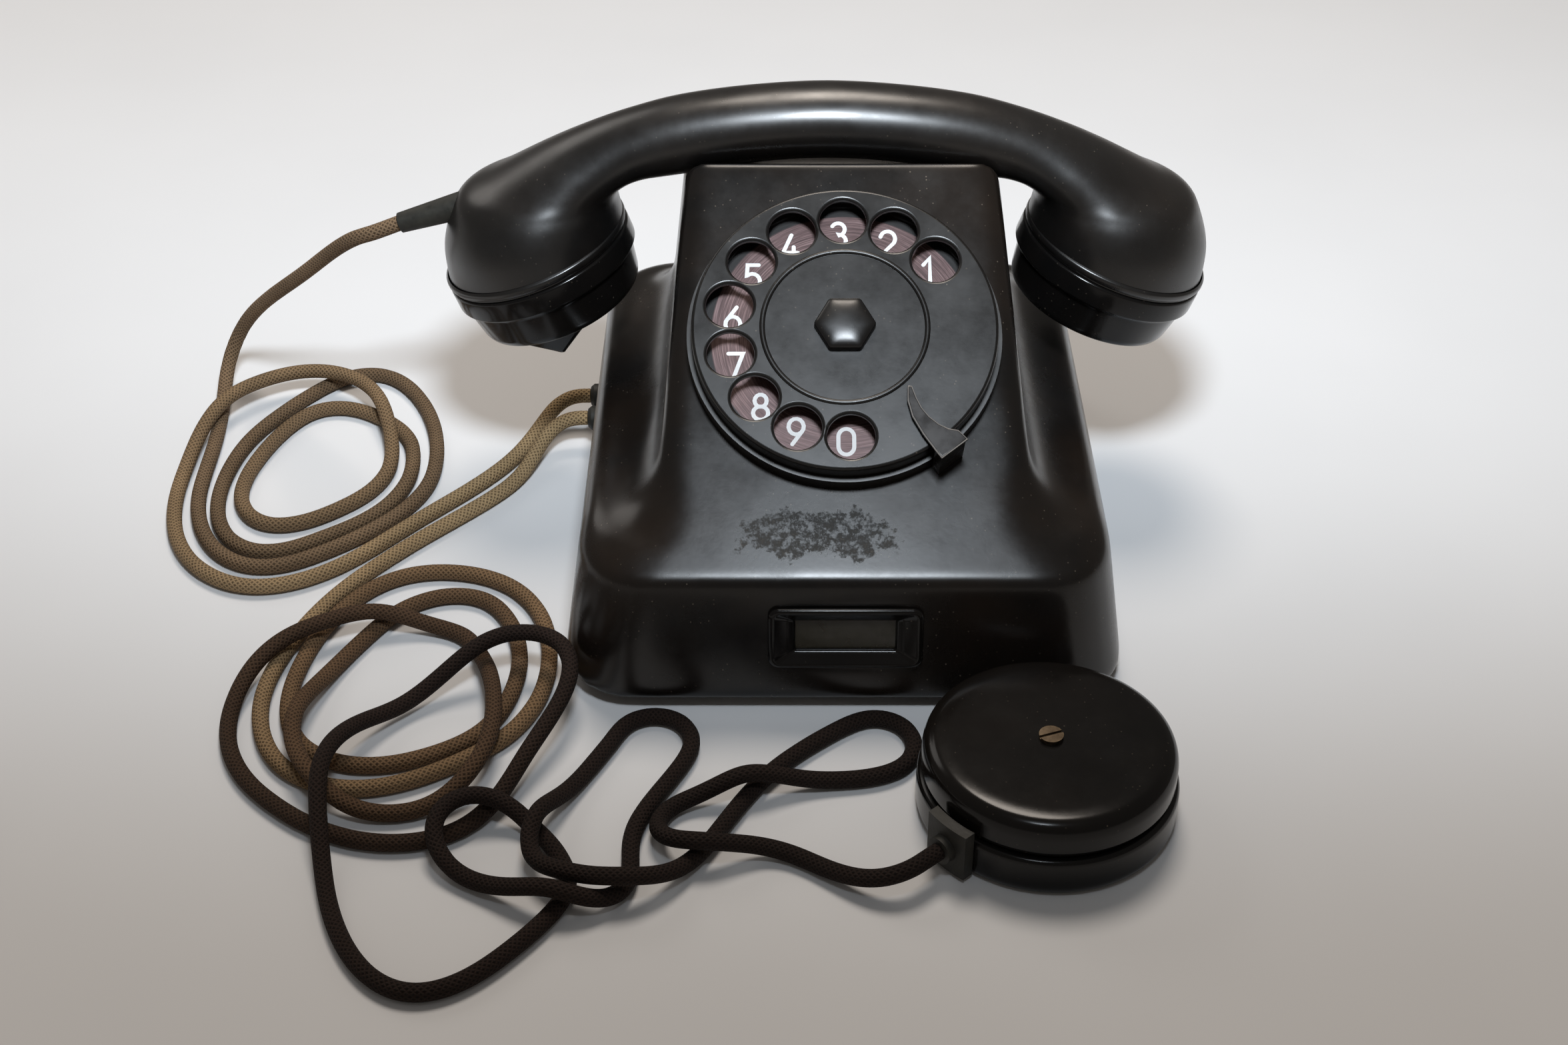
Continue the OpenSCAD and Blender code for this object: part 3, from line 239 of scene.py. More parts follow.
def braid(name, stops, length):
    """Cloth braid; its texture space runs along the cord in metres and once round it."""
    material, tree, shader = new_material(name)
    place = add_node(tree, "ShaderNodeTexCoord").outputs["UV"]
    along, around, _ = add_node(tree, "ShaderNodeSeparateXYZ", {"Vector": place}).outputs
    run = math_node(tree, "MULTIPLY", along, 2 * math.pi / BRAID_PITCH)
    spin = math_node(tree, "MULTIPLY", around, 2 * math.pi * BRAID_STARTS)
    left = math_node(tree, "SINE", math_node(tree, "ADD", run, spin))
    right = math_node(tree, "SINE", math_node(tree, "SUBTRACT", run, spin))
    strand = math_node(tree, "MAXIMUM", left, right)
    wrap = add_node(tree, "ShaderNodeCombineXYZ",
                    {"X": math_node(tree, "MULTIPLY", along, 400.0),
                     "Y": math_node(tree, "MULTIPLY", around, 6.0)})
    fuzz = noise(tree, wrap.outputs["Vector"], 2.6, 5.0, 0.7)
    height = math_node(tree, "ADD", math_node(tree, "MULTIPLY", strand, 0.5), fuzz)
    soil = noise(tree, add_node(tree, "ShaderNodeCombineXYZ", {"X": along}).outputs["Vector"], 26.0, 4.0)
    age = math_node(tree, "DIVIDE", along, length)
    base = ramp(tree, age, stops)
    # Painted shade in the grooves between strands and painted light on their crowns, multiplied into the
    # colour.
    painted_strand_shading = ramp(tree, height, [(0.1, grey(0.4)), (0.95, grey(1.25))])
    stain = ramp(tree, soil, [(0.3, grey(0.72)), (0.7, grey(1.08))])
    colour = multiply_colour(tree, multiply_colour(tree, base, painted_strand_shading), stain)
    tree.links.new(colour, shader.inputs["Base Color"])
    shader.inputs["Roughness"].default_value = 0.85
    shader.inputs["Specular IOR Level"].default_value = 0.2
    bump(tree, shader, height, 0.7, 0.0005)
    return material


DIAL_PLACE = Vector((0, -0.0255, 0.0862))
SLOPE = math.radians(34)
PLATE_R = 0.04


def brushed_plate(name):
    """Mauve-brown plate brushed in rings about the dial's axis; near-black past its edge: the case's black
    plus painted shade.
    """
    material, tree, shader = new_material(name)
    local = add_node(tree, "ShaderNodeMapping",
                     {"Vector": object_place(tree), "Location": DIAL_PLACE, "Rotation": (SLOPE, 0, 0)},
                     vector_type="TEXTURE").outputs["Vector"]
    x, y, _ = add_node(tree, "ShaderNodeSeparateXYZ", {"Vector": local}).outputs
    radius = math_node(tree, "SQRT", math_node(tree, "ADD", math_node(tree, "MULTIPLY", x, x),
                                               math_node(tree, "MULTIPLY", y, y)))
    angle = math_node(tree, "ARCTAN2", y, x)
    polar = add_node(tree, "ShaderNodeCombineXYZ", {"X": math_node(tree, "MULTIPLY", radius, 1500.0),
                                                    "Y": math_node(tree, "MULTIPLY", angle, 1.2)})
    hair = noise(tree, polar.outputs["Vector"], 1.6, 6.0, 0.75)
    colour = ramp(tree, hair, [(0.32, (0.035, 0.019, 0.019)), (0.5, (0.11, 0.064, 0.062)),
                               (0.7, (0.3, 0.2, 0.195))])
    # Near-black past the plate's edge: the case's own black below, with painted shade of the gap under the
    # wheel.
    edge = ramp(tree, math_node(tree, "MULTIPLY", radius, 1 / PLATE_R),
                [(0.0, grey(0.0)), (0.98, grey(0.0)), (0.99, grey(1.0))])
    tree.links.new(mix_colour(tree, edge, colour, (0.01, 0.009, 0.009)), shader.inputs["Base Color"])
    shader.inputs["Metallic"].default_value = 0.35
    tree.links.new(ramp(tree, hair, [(0.3, grey(0.34)), (0.7, grey(0.5))]), shader.inputs["Roughness"])
    bump(tree, shader, hair, 0.1, 0.0002)
    return material


TARNISH = (0.03, 0.028, 0.027)


def worn_chrome(name):
    """Blackened plating with a painted highlight on its bevels, where the metal turns away from the dial's
    face.
    """
    material, tree, shader = new_material(name)
    facing = add_node(tree, "ShaderNodeNewGeometry").outputs["Normal"]
    out = (0, -math.sin(SLOPE), math.cos(SLOPE))
    flat = add_node(tree, "ShaderNodeVectorMath", {0: facing, 1: out},
                    operation="DOT_PRODUCT").outputs["Value"]
    cloud = noise(tree, object_place(tree), 160.0, 4.0)
    bevel_highlight_facing = math_node(tree, "ADD", flat, math_node(tree, "MULTIPLY", cloud, 0.06))
    # Painted highlight: bright colour on the bevels turned partly away from the dial's face; flat faces
    # and sides stay dark.
    colour = ramp(tree, bevel_highlight_facing, [(0.2, TARNISH), (0.5, (0.7, 0.68, 0.66)), (0.93, (0.6, 0.58, 0.56)),
                                 (0.985, TARNISH)])
    tree.links.new(colour, shader.inputs["Base Color"])
    tree.links.new(ramp(tree, cloud, [(0.3, grey(0.2)), (0.7, grey(0.36))]), shader.inputs["Roughness"])
    shader.inputs["Metallic"].default_value = 0.7
    return material


def clear_sheet(name):
    """Dull, yellowed clear sheet."""
    material, tree, shader = new_material(name)
    haze = noise(tree, object_place(tree), 260.0, 4.0)
    tree.links.new(ramp(tree, haze, [(0.3, grey(0.12)), (0.7, grey(0.3))]), shader.inputs["Roughness"])
    shader.inputs["Base Color"].default_value = (0.07, 0.06, 0.04, 1)
    shader.inputs["Transmission Weight"].default_value = 0.6
    shader.inputs["IOR"].default_value = 1.45
    return material


# Place, turn and size of the worn patch below the dial
PATCH = ((-0.0076, -0.0753, 0.0526), (SLOPE, 0, 0), (0.06, 0.02, 0.02))
HANDSET_CORD_LENGTH = 1.157
RECEIVER_CORD_LENGTH = 1.957
# Braid colours by the share of the cord's length from the housing
TAN_STOPS = [(0.0, (0.4, 0.28, 0.15)), (0.2, (0.25, 0.165, 0.09)), (0.6, (0.16, 0.105, 0.06)),
             (1.0, (0.22, 0.145, 0.085))]
BROWN_STOPS = [(0.0, (0.4, 0.28, 0.15)), (0.15, (0.22, 0.135, 0.07)), (0.38, (0.1, 0.058, 0.032)),
               (0.56, (0.024, 0.0145, 0.011)), (1.0, (0.019, 0.012, 0.0095))]
MATERIALS = {
    "bakelite": moulded_black("bakelite", rough=0.3, shine=0.85, brown=0.5, dust=0.5),
    "zinced_steel": metal("zinced_steel", (0.5, 0.5, 0.48), 0.42),
    "bright_steel": metal("bright_steel", (0.65, 0.65, 0.63), 0.28),
    "worn_chrome": worn_chrome("worn_chrome"),
    "felt": matt("felt", (0.11, 0.1, 0.09), (0.06, 0.055, 0.05), 0.95, 900.0, 0.8),
    "celluloid": clear_sheet("celluloid"),
    "paper": matt("paper", (0.022, 0.019, 0.012), (0.008, 0.007, 0.005), 0.7, 150.0),
    "dial_plate": brushed_plate("dial_plate"),
    "brass": metal("brass", (0.15, 0.112, 0.075), 0.45, dirt=0.6),
    "fibre": matt("fibre", (0.22, 0.13, 0.08), (0.13, 0.075, 0.045), 0.6, 300.0),
    "copper_wire": metal("copper_wire", (0.5, 0.22, 0.1), 0.4),
    "gong_metal": metal("gong_metal", (0.6, 0.58, 0.53), 0.22),
    "tinned_can": metal("tinned_can", (0.56, 0.56, 0.54), 0.38),
    "dark_rubber": matt("dark_rubber", (0.03, 0.028, 0.021), (0.009, 0.009, 0.007), 0.6, 260.0, 0.5),
    "tan_braid": braid("tan_braid", TAN_STOPS, HANDSET_CORD_LENGTH),
    "brown_braid": braid("brown_braid", BROWN_STOPS, RECEIVER_CORD_LENGTH),
}
HOUSING_BLACK = moulded_black("housing_black", rough=0.24, shine=0.46, brown=1.0, dust=0.8, wear=PATCH)
WHEEL_BLACK = moulded_black("wheel_black", rough=0.29, shine=0.6, brown=0.1, dust=0.8)
GLOSS_BLACK = moulded_black("gloss_black", rough=0.16, shine=0.3, brown=0.3, dust=0.5)
WHITE_PAINT = matt("white_paint", (0.95, 0.94, 0.93), (0.87, 0.86, 0.85), 0.5, 600.0, 0.1)

# Mesh helpers


def shade_smooth(mesh, angle=35):
    mesh.polygons.foreach_set("use_smooth", [True] * len(mesh.polygons))
    mesh.set_sharp_from_angle(angle=math.radians(angle))


def add_mesh(name, points, faces, material, body=None, slot="bakelite", angle=35):
    mesh = bpy.data.meshes.new(name)
    mesh.from_pydata([Vector(p) for p in points], [], faces)
    mesh.validate()
    mesh.update()
    piece = link(bpy.data.objects.new(name, mesh))
    mesh.materials.append(material)
    shade_smooth(mesh, angle)
    if body:
        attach(piece, body)
    return piece


def grid_faces(rows, columns):
    """Quads over rows of points; each row is a closed ring."""
    faces = []
    for i in range(rows - 1):
        for k in range(columns):
            here, following = i * columns, (i + 1) * columns
            beside = (k + 1) % columns
            faces.append((here + k, here + beside, following + beside, following + k))
    return faces


def loft(name, rings, material, place=None, capped=True, **ways):
    """Skin over rings of points in millimetres; place moves them into the part's frame."""
    count = len(rings[0])
    points = [Vector(p) * MM for ring in rings for p in ring]
    if place:
        points = [place @ p for p in points]
    faces = grid_faces(len(rings), count)
    if capped:
        faces.append(tuple(reversed(range(count))))
        faces.append(tuple(range((len(rings) - 1) * count, len(rings) * count)))
    return add_mesh(name, points, faces, material, **ways)


def lathe(name, profile, material, place, sides=96, **ways):
    """Turned form, open at both ends; the profile is rows of radius and height in millimetres."""
    points = []
    for radius, height in profile:
        for k in range(sides):
            turn = 2 * math.pi * k / sides
            point = Vector((radius * math.cos(turn), radius * math.sin(turn), height))
            points.append(place @ (point * MM))
    return add_mesh(name, points, grid_faces(len(profile), sides), material, **ways)


def join(first, others):
    """One object from several; the first keeps its name and its body."""
    merged = bpy.data.meshes.new(first.name)
    points, faces = [], []
    for mesh in [first.data] + [other.data for other in others]:
        start = len(points)
        points += [v.co.copy() for v in mesh.vertices]
        for face in mesh.polygons:
            faces.append([start + v for v in face.vertices])
    merged.from_pydata(points, [], faces)
    merged.update()
    for material in first.data.materials:
        merged.materials.append(material)
    first.data = merged
    shade_smooth(merged)
    for other in others:
        bpy.data.objects.remove(other)
    return first


def on_slope():
    return Matrix.Translation(DIAL_PLACE) @ Matrix.Rotation(SLOPE, 4, "X")


MOST_CUT = 0.45


def rounded(points, steps=4, reach=0.35):
    """Profile with its inner corners cut by short curves."""
    result = [points[0]]
    for before, here, after in zip(points, points[1:], points[2:]):
        back, ahead = Vector(before) - Vector(here), Vector(after) - Vector(here)
        short = min(reach, back.length * MOST_CUT, ahead.length * MOST_CUT)
        start = Vector(here) + back.normalized() * short
        end = Vector(here) + ahead.normalized() * short
        for s in range(steps + 1):
            t = s / steps
            result.append(tuple(start * (1 - t) ** 2 + Vector(here) * 2 * t * (1 - t) + end * t * t))
    result.append(points[-1])
    return result


def rounded_rectangle(width, height, radius, level, steps=6):
    ring = []
    for q, (sx, sy) in enumerate(((1, 1), (-1, 1), (-1, -1), (1, -1))):
        for k in range(steps + 1):
            turn = math.pi / 2 * (q + k / steps)
            ring.append((sx * (width / 2 - radius) + radius * math.cos(turn),
                         sy * (height / 2 - radius) + radius * math.sin(turn), level))
    return ring


# Cords, along the same points as the solids

CORD_D = 5
LIE = 2.7
HANDSET_ROUTE = [
    (-85.379, 61, 11), (-91.379, 61, 11),
    (-97, 58.5, 9), (-101, 52, 6.5), (-105, 44, 4), (-110, 34.5, LIE), (-116, 25, LIE),
    (-123, 16, LIE), (-130, 8, LIE), (-138, -1, LIE), (-147, -12, LIE), (-157, -24, LIE),
    (-170, -34, LIE), (-185, -38, LIE), (-199, -33, LIE), (-211, -21, LIE), (-218, -5, LIE),
    (-221, 13, LIE), (-221, 30, 3), (-219, 46, 7), (-214, 61, 10), (-205, 73, 9), (-191, 81, 9),
    (-176, 80, 9), (-164, 71, 9), (-157, 57, 10), (-152, 41, 5), (-151, 27, LIE),
    (-156, 14, LIE), (-165, 5, LIE), (-174, -2, LIE), (-184, -5, LIE), (-193, -1, LIE),
    (-199, 9, LIE), (-200, 22, LIE), (-197, 37, LIE), (-192, 52, LIE), (-184, 65, LIE),
    (-171, 67, LIE), (-158, 59, LIE), (-147, 48, LIE), (-144, 34, LIE), (-144, 20, LIE),
    (-149, 6, LIE), (-158, -4, LIE), (-168, -11, LIE), (-178, -18, LIE), (-189, -19, LIE),
    (-199, -12, LIE), (-205, 1, LIE), (-207, 16, LIE), (-206, 31, LIE), (-203, 46, LIE),
    (-196, 60, LIE), (-187, 74, LIE), (-176, 87, LIE), (-162, 89, LIE), (-151, 79, LIE),
    (-143, 64, LIE), (-138, 48, LIE), (-136, 32, LIE), (-137, 17, LIE), (-143, 4, LIE),
    (-153, -8, LIE), (-165, -18, LIE), (-177, -26, LIE), (-189, -27, LIE), (-200, -20, LIE),
    (-208, -8, LIE), (-213, 8, LIE), (-214, 24, LIE), (-214, 40, LIE), (-215, 56, LIE),
    (-217, 72, LIE), (-218, 86, 8), (-213, 91, 19), (-205, 85, 31), (-194, 75, 44),
    (-180, 64, 58), (-167, 53, 73), (-157, 44, 83),
    (-151, 41, 86), (-146, 41, 88), (-141, 41, 90),
]
RECEIVER_ROUTE = [
    (-85.379, 47, 11), (-91.379, 47, 11),
    (-97, 44.5, 9), (-101, 38, 6.5), (-104, 30, 4), (-108, 21, LIE), (-114, 12.5, LIE),
    (-121, 4.5, LIE), (-128.5, -3.5, LIE), (-137, -12.5, LIE), (-147, -24.5, LIE), (-157, -38, LIE),
    (-165, -54, LIE), (-170, -70, LIE), (-173, -86, LIE), (-171, -103, LIE), (-164, -118, LIE),
    (-152, -127, LIE), (-138, -130, LIE), (-123, -126, LIE), (-109, -117, LIE), (-97, -107, LIE),
    (-90, -92, LIE), (-88, -76, LIE), (-90, -59, LIE), (-96, -44, LIE), (-107, -33, LIE),
    (-123, -28, LIE), (-139, -30, LIE), (-151, -40, LIE), (-159, -55, LIE), (-163, -70, LIE),
    (-165, -86, LIE), (-163, -102, LIE), (-156, -113, LIE), (-145, -119, LIE), (-132, -120, LIE),
    (-118, -115, LIE), (-106, -107, LIE), (-100, -95, LIE), (-97, -80, LIE), (-98, -66, LIE),
    (-103, -52, LIE), (-111, -42, LIE), (-124, -40, LIE), (-137, -47, LIE), (-145, -60, LIE),
    (-152, -74, LIE), (-157, -88, 5), (-160, -103, 10), (-158, -118, 9), (-150, -131, 10),
    (-140, -138, 4), (-127, -140, LIE), (-114, -136, 3), (-104, -126, 9), (-101, -112, 10),
    (-102, -98, 10), (-105, -84, 8), (-110, -70, 3), (-115, -60, LIE), (-128, -56, 3),
    (-142, -56, 10), (-155, -60, 9), (-168, -69, 10), (-177, -80, 7), (-181, -94, LIE),
    (-179, -110, LIE), (-172, -124, LIE), (-161, -135, LIE), (-149, -144, LIE), (-135, -150, LIE),
    (-120, -151, LIE), (-106, -146, LIE), (-97, -134, 4), (-91, -121, 9), (-84, -108, 12),
    (-79, -94, 15), (-82, -80, 16), (-94, -74, 16), (-107, -78, 16), (-119, -86, 8),
    (-130, -95, 3), (-140, -106, 8), (-145, -120, 14), (-147, -134, 16), (-145, -148, 9),
    (-142, -162, 3), (-138, -176, LIE), (-131, -191, LIE), (-121, -202, LIE), (-110, -205, LIE),
    (-99, -200, LIE), (-90, -191, LIE), (-82, -181, LIE), (-77, -173, LIE), (-75, -165, LIE),
    (-78, -157, LIE), (-82, -150, LIE), (-87, -144.5, LIE), (-93, -140, 7), (-101.5, -138.5, 10.5),
    (-109.5, -141, 10.5), (-114, -148.5, 9.5), (-112, -157, 6), (-105, -163.5, 3), (-96, -168, 4),
    (-88, -171.5, 7.5), (-80, -174, 10.5), (-72, -175, 7.5), (-65, -173, 4), (-60, -167.5, LIE),
    (-59, -160, LIE), (-60, -152, LIE), (-59, -143, LIE), (-55, -134, LIE), (-50, -125, LIE),
    (-46, -117, LIE), (-43.5, -109, LIE), (-47, -100.5, LIE), (-55.5, -97, LIE), (-64, -100.5, LIE),
    (-67.5, -109, LIE), (-71.5, -117, LIE), (-75.5, -125, LIE), (-79.5, -132.5, 4), (-83, -139.5, 7.5),
    (-86, -146.5, 10.2), (-87.5, -154, 7.5), (-85, -161.5, 6.5), (-78, -167, 9.5), (-69.5, -170, 10),
    (-60.5, -170.5, 10.5), (-52, -167.5, 7.5), (-45.5, -161.5, 4), (-40, -153.5, LIE), (-35.5, -145, LIE),
    (-31, -136.5, LIE), (-26, -128, LIE), (-20, -120, LIE), (-12, -112, LIE), (-3, -104.5, LIE),
    (7, -97.5, LIE), (17, -101, LIE), (21, -110.5, LIE), (17, -120.5, LIE), (7, -124.5, LIE),
    (-3, -125.5, LIE), (-12, -126.5, 4), (-20, -128, 7.5), (-28, -130, 10.5), (-35, -131.5, 7.5),
    (-42, -133, 4), (-50, -136.5, 3), (-53.7, -145, 4), (-50, -153.5, 7.5), (-41.5, -157, 10.2),
    (-32.5, -155, 7.5), (-24, -152.5, 4), (-15, -154.5, LIE), (-6.5, -160.5, 3), (1.5, -166, 5),
    (9, -168.5, 7.5), (16, -166.6, 9), (19.7, -163.3, 9), (23.5, -160, 9),
]
CORD_STEPS = 8
CORD_SIDES = 14


def bend(a, b, c, d, t):
    """Point of a uniform cubic B-spline."""
    return ((1 - t) ** 3 * a + (3 * t ** 3 - 6 * t * t + 4) * b
            + (-3 * t ** 3 + 3 * t * t + 3 * t + 1) * c + t ** 3 * d) / 6


def smooth_route(route, steps):
    points = [Vector(p) * MM for p in route]
    run = [2 * points[0] - points[1]] + points + [2 * points[-1] - points[-2]]
    result = []
    for i in range(len(points) - 1):
        for s in range(steps):
            result.append(bend(*run[i:i + 4], s / steps))
    result.append(points[-1])
    return result


def add_cord(name, route, slot):
    """Tube along a route; gives back the piece, its path and its length."""
    path = smooth_route(route, CORD_STEPS)
    radius = CORD_D / 2 * MM
    points, lengths = [], [0.0]
    for a, b in zip(path, path[1:]):
        lengths.append(lengths[-1] + (b - a).length)
    for i, centre in enumerate(path):
        ahead = (path[min(i + 1, len(path) - 1)] - path[max(i - 1, 0)]).normalized()
        side = ahead.cross(Vector((0, 0, 1))).normalized()
        up = side.cross(ahead)
        for k in range(CORD_SIDES):
            turn = 2 * math.pi * k / CORD_SIDES
            points.append(centre + radius * (math.cos(turn) * up + math.sin(turn) * side))
    faces = [tuple(reversed(f)) for f in grid_faces(len(path), CORD_SIDES)]
    faces.append(tuple(range(CORD_SIDES)))
    faces.append(tuple(reversed(range((len(path) - 1) * CORD_SIDES, len(path) * CORD_SIDES))))
    piece = add_mesh(name, points, faces, MATERIALS[slot], slot=slot, angle=60)
    spread_braid(piece.data, lengths)
    return piece, path, lengths[-1]


def spread_braid(mesh, lengths):
    """Texture space along the cord in metres and once round it."""
    layer = mesh.uv_layers.new(name="braid")
    for face in mesh.polygons:
        columns = [mesh.loops[i].vertex_index % CORD_SIDES for i in face.loop_indices]
        seam = len(columns) == 4 and 0 in columns and CORD_SIDES - 1 in columns
        for i in face.loop_indices:
            row, column = divmod(mesh.loops[i].vertex_index, CORD_SIDES)
            if seam and column == 0:
                column = CORD_SIDES
            layer.data[i].uv = (lengths[row], column / CORD_SIDES)


def add_cords():
    piece, path, length = add_cord("handset_braid", HANDSET_ROUTE, "tan_braid")
    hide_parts("handset_cord")
    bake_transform(piece)
    piece, path, length = add_cord("receiver_braid", RECEIVER_ROUTE, "brown_braid")
    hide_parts("receiver_cord")
    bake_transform(piece)


add_cords()

# Carried-over solids


def dress_nodes():
    """Every CAD node gets its slot's material and smooth shading."""
    for entry in frame["record"]["subparts"]:
        obj = frame["nodes"][entry["node"]]
        obj.data.materials.clear()
        obj.data.materials.append(MATERIALS[entry["material_slot"]])
        shade_smooth(obj.data, 30)


dress_nodes()


def apply_modifiers(piece):
    """Works the piece's modifiers into its mesh."""
    graph = bpy.context.evaluated_depsgraph_get()
    mesh = bpy.data.meshes.new_from_object(piece.evaluated_get(graph))
    piece.modifiers.clear()
    piece.data = mesh


HOUSING_VOXEL = 0.0011
HOUSING_ROUNDS = 40


def add_housing():
    """Copy of the housing with softened edges, as a moulding has."""
    mesh = frame["nodes"]["housing_shell"].data.copy()
    piece = link(bpy.data.objects.new("housing_shell_moulding", mesh))
    cells = piece.modifiers.new("cells", "REMESH")
    cells.mode = "VOXEL"
    cells.voxel_size = HOUSING_VOXEL
    soften = piece.modifiers.new("soften", "SMOOTH")
    soften.factor = 0.5
    soften.iterations = HOUSING_ROUNDS
    apply_modifiers(piece)
    piece.data.materials.clear()
    piece.data.materials.append(HOUSING_BLACK)
    shade_smooth(piece.data, 180)
    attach(piece, "housing")
    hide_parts("housing_shell")


add_housing()

PAD_W = 136
PAD_D = 146
PAD_CORNER = 26
# Inset and height of each ring of the pad
PAD_LEVELS = ((2.2, 0.0), (0.9, 0.25), (0.2, 0.9), (0.0, 1.8), (0.1, 3.2), (0.6, 4.1), (1.8, 4.45))


def add_pad():
    """Felt pad with soft edges under the base plate."""
    rings = [rounded_rectangle(PAD_W - 2 * inset, PAD_D - 2 * inset, PAD_CORNER - inset, level, 10)
             for inset, level in PAD_LEVELS]
    piece = loft("felt_pad", rings, MATERIALS["felt"], body="housing", slot="felt", angle=60)
    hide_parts("base_pad")


add_pad()

# Number window

FRONT_LEAN = math.radians(7)
# Depth and height of the front wall's foot
FRONT_FOOT = (-93.5, 3.5)
WINDOW_Z = 26.5
WINDOW_Y = FRONT_FOOT[0] + (WINDOW_Z - FRONT_FOOT[1]) * math.tan(FRONT_LEAN)
# Width, height, corner radius and level of each ring of the window's frame
WINDOW_LEVELS = [
    (33, 14, 0.6, -4.4), (33, 14, 0.6, 0.0), (44.6, 19.6, 3.0, 0.0), (45, 20, 3.0, 0.35),
    (44.9, 19.9, 3.0, 0.8), (44.4, 19.4, 2.9, 1.25), (43.6, 18.6, 2.7, 1.52), (42.6, 17.8, 2.5, 1.6),
    (41.6, 17.0, 2.2, 1.5), (40.8, 16.4, 2.0, 1.25), (34.6, 12.6, 1.2, 0.05), (31.0, 10.9, 0.8, -0.55),
    (30.2, 10.45, 0.7, -0.8), (29.4, 10.15, 0.6, -1.3), (29.05, 10.05, 0.5, -2.0),
    (29.05, 10.05, 0.5, -4.4),
]


def on_front():
    turn = Matrix.Rotation(math.pi / 2 - FRONT_LEAN, 4, "X")
    return Matrix.Translation(Vector((0, WINDOW_Y, WINDOW_Z)) * MM) @ turn


def add_window():
    rings = [rounded_rectangle(*level) for level in WINDOW_LEVELS]
    piece = loft("window_bezel", rings, GLOSS_BLACK, on_front(), capped=False, body="housing", angle=50)
    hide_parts("window_frame")


add_window()

# Dial

DIGIT_BOX_W = 0.62
DIGIT_H = 8
DIGIT_W = 7.4
DIGIT_R = 33.4
DIGIT_TURNS = (2, 2, 2, 2, 2, 2, 2, 2, -1.8, -2)
STROKE = 1.2
DIGIT_LEVEL = 4.04
RIBBON_CLIMB = 0.04
RIBBON_END_STEPS = 8
TINY = 1e-6
HOLES = 10
FIRST_HOLE = 38.5
HOLE_STEP = 26
ARC_STEPS = 14


def arc(cx, cy, rx, ry, start, end):
    turns = [math.radians(start + (end - start) * s / ARC_STEPS) for s in range(ARC_STEPS + 1)]
    return [(cx + rx * math.cos(turn), cy + ry * math.sin(turn)) for turn in turns]


# Digits as strokes in a box DIGIT_BOX_W wide and 1 high
DIGITS = {
    0: [arc(0.31, 0.69, 0.31, 0.31, 0, 180) + arc(0.31, 0.31, 0.31, 0.31, 180, 360) + [(0.62, 0.69)]],
    1: [[(0.1, 0.72), (0.36, 1.0), (0.36, 0.0)]],
    2: [arc(0.31, 0.69, 0.3, 0.31, 165, -35) + [(0.03, 0.0), (0.62, 0.0)]],
    3: [arc(0.3, 0.745, 0.27, 0.255, 150, -80) + arc(0.3, 0.265, 0.31, 0.265, 85, -150)],
    4: [[(0.36, 1.0), (0.02, 0.27), (0.62, 0.27)], [(0.45, 0.5), (0.45, 0.0)]],
    5: [[(0.56, 1.0), (0.11, 1.0), (0.08, 0.56)] + arc(0.3, 0.32, 0.31, 0.32, 130, -145)],
    6: [[(0.46, 1.0), (0.08, 0.5)] + arc(0.31, 0.31, 0.3, 0.31, 160, 520)],
    7: [[(0.02, 1.0), (0.6, 1.0), (0.22, 0.0)]],
    8: [arc(0.31, 0.755, 0.24, 0.245, 0, 360), arc(0.31, 0.265, 0.3, 0.265, 0, 360)],
    9: [[(0.16, 0.0), (0.54, 0.5)] + arc(0.31, 0.69, 0.3, 0.31, -20, 340)],
}


def ribbon(points, width, level):
    """Ribbon along a row of points, rising a little, with round ends unless it closes on itself."""
    row = [Vector(p) for p in points]
    row = [p for i, p in enumerate(row) if i == 0 or (p - row[i - 1]).length > TINY]
    closed = (row[0] - row[-1]).length < TINY
    if closed:
        row.pop()
    count = len(row)
    half = width / 2
    edges = []
    for i, here in enumerate(row):
        ahead = row[(i + 1) % count] - here if closed or i < count - 1 else here - row[i - 1]
        behind = here - row[i - 1] if closed or i > 0 else ahead
        a, b = ahead.normalized(), behind.normalized()
        across = Vector((-a.y - b.y, a.x + b.x)).normalized()
        reach = half / max(0.5, across.dot(Vector((-a.y, a.x))))
        edges.append((here + across * reach, here - across * reach))
    climb = 0.0 if closed else RIBBON_CLIMB
    levels = [level + climb * i / count for i in range(count)]
    verts = [(*p, h) for pair, h in zip(edges, levels) for p in pair]
    faces = []
    for i in range(count if closed else count - 1):
        n = (i + 1) % count
        faces.append((2 * i + 1, 2 * n + 1, 2 * n, 2 * i))
    if not closed:
        for end, other, h in ((row[0], row[1], levels[0]), (row[-1], row[-2], levels[-1])):
            out = (end - other).normalized()
            start = len(verts)
            for k in range(RIBBON_END_STEPS + 1):
                turn = math.pi * (k / RIBBON_END_STEPS - 0.5)
                verts.append((end.x + half * (out.x * math.cos(turn) - out.y * math.sin(turn)),
                              end.y + half * (out.y * math.cos(turn) + out.x * math.sin(turn)), h))
            faces.append(tuple(range(start, len(verts))))
    return verts, faces


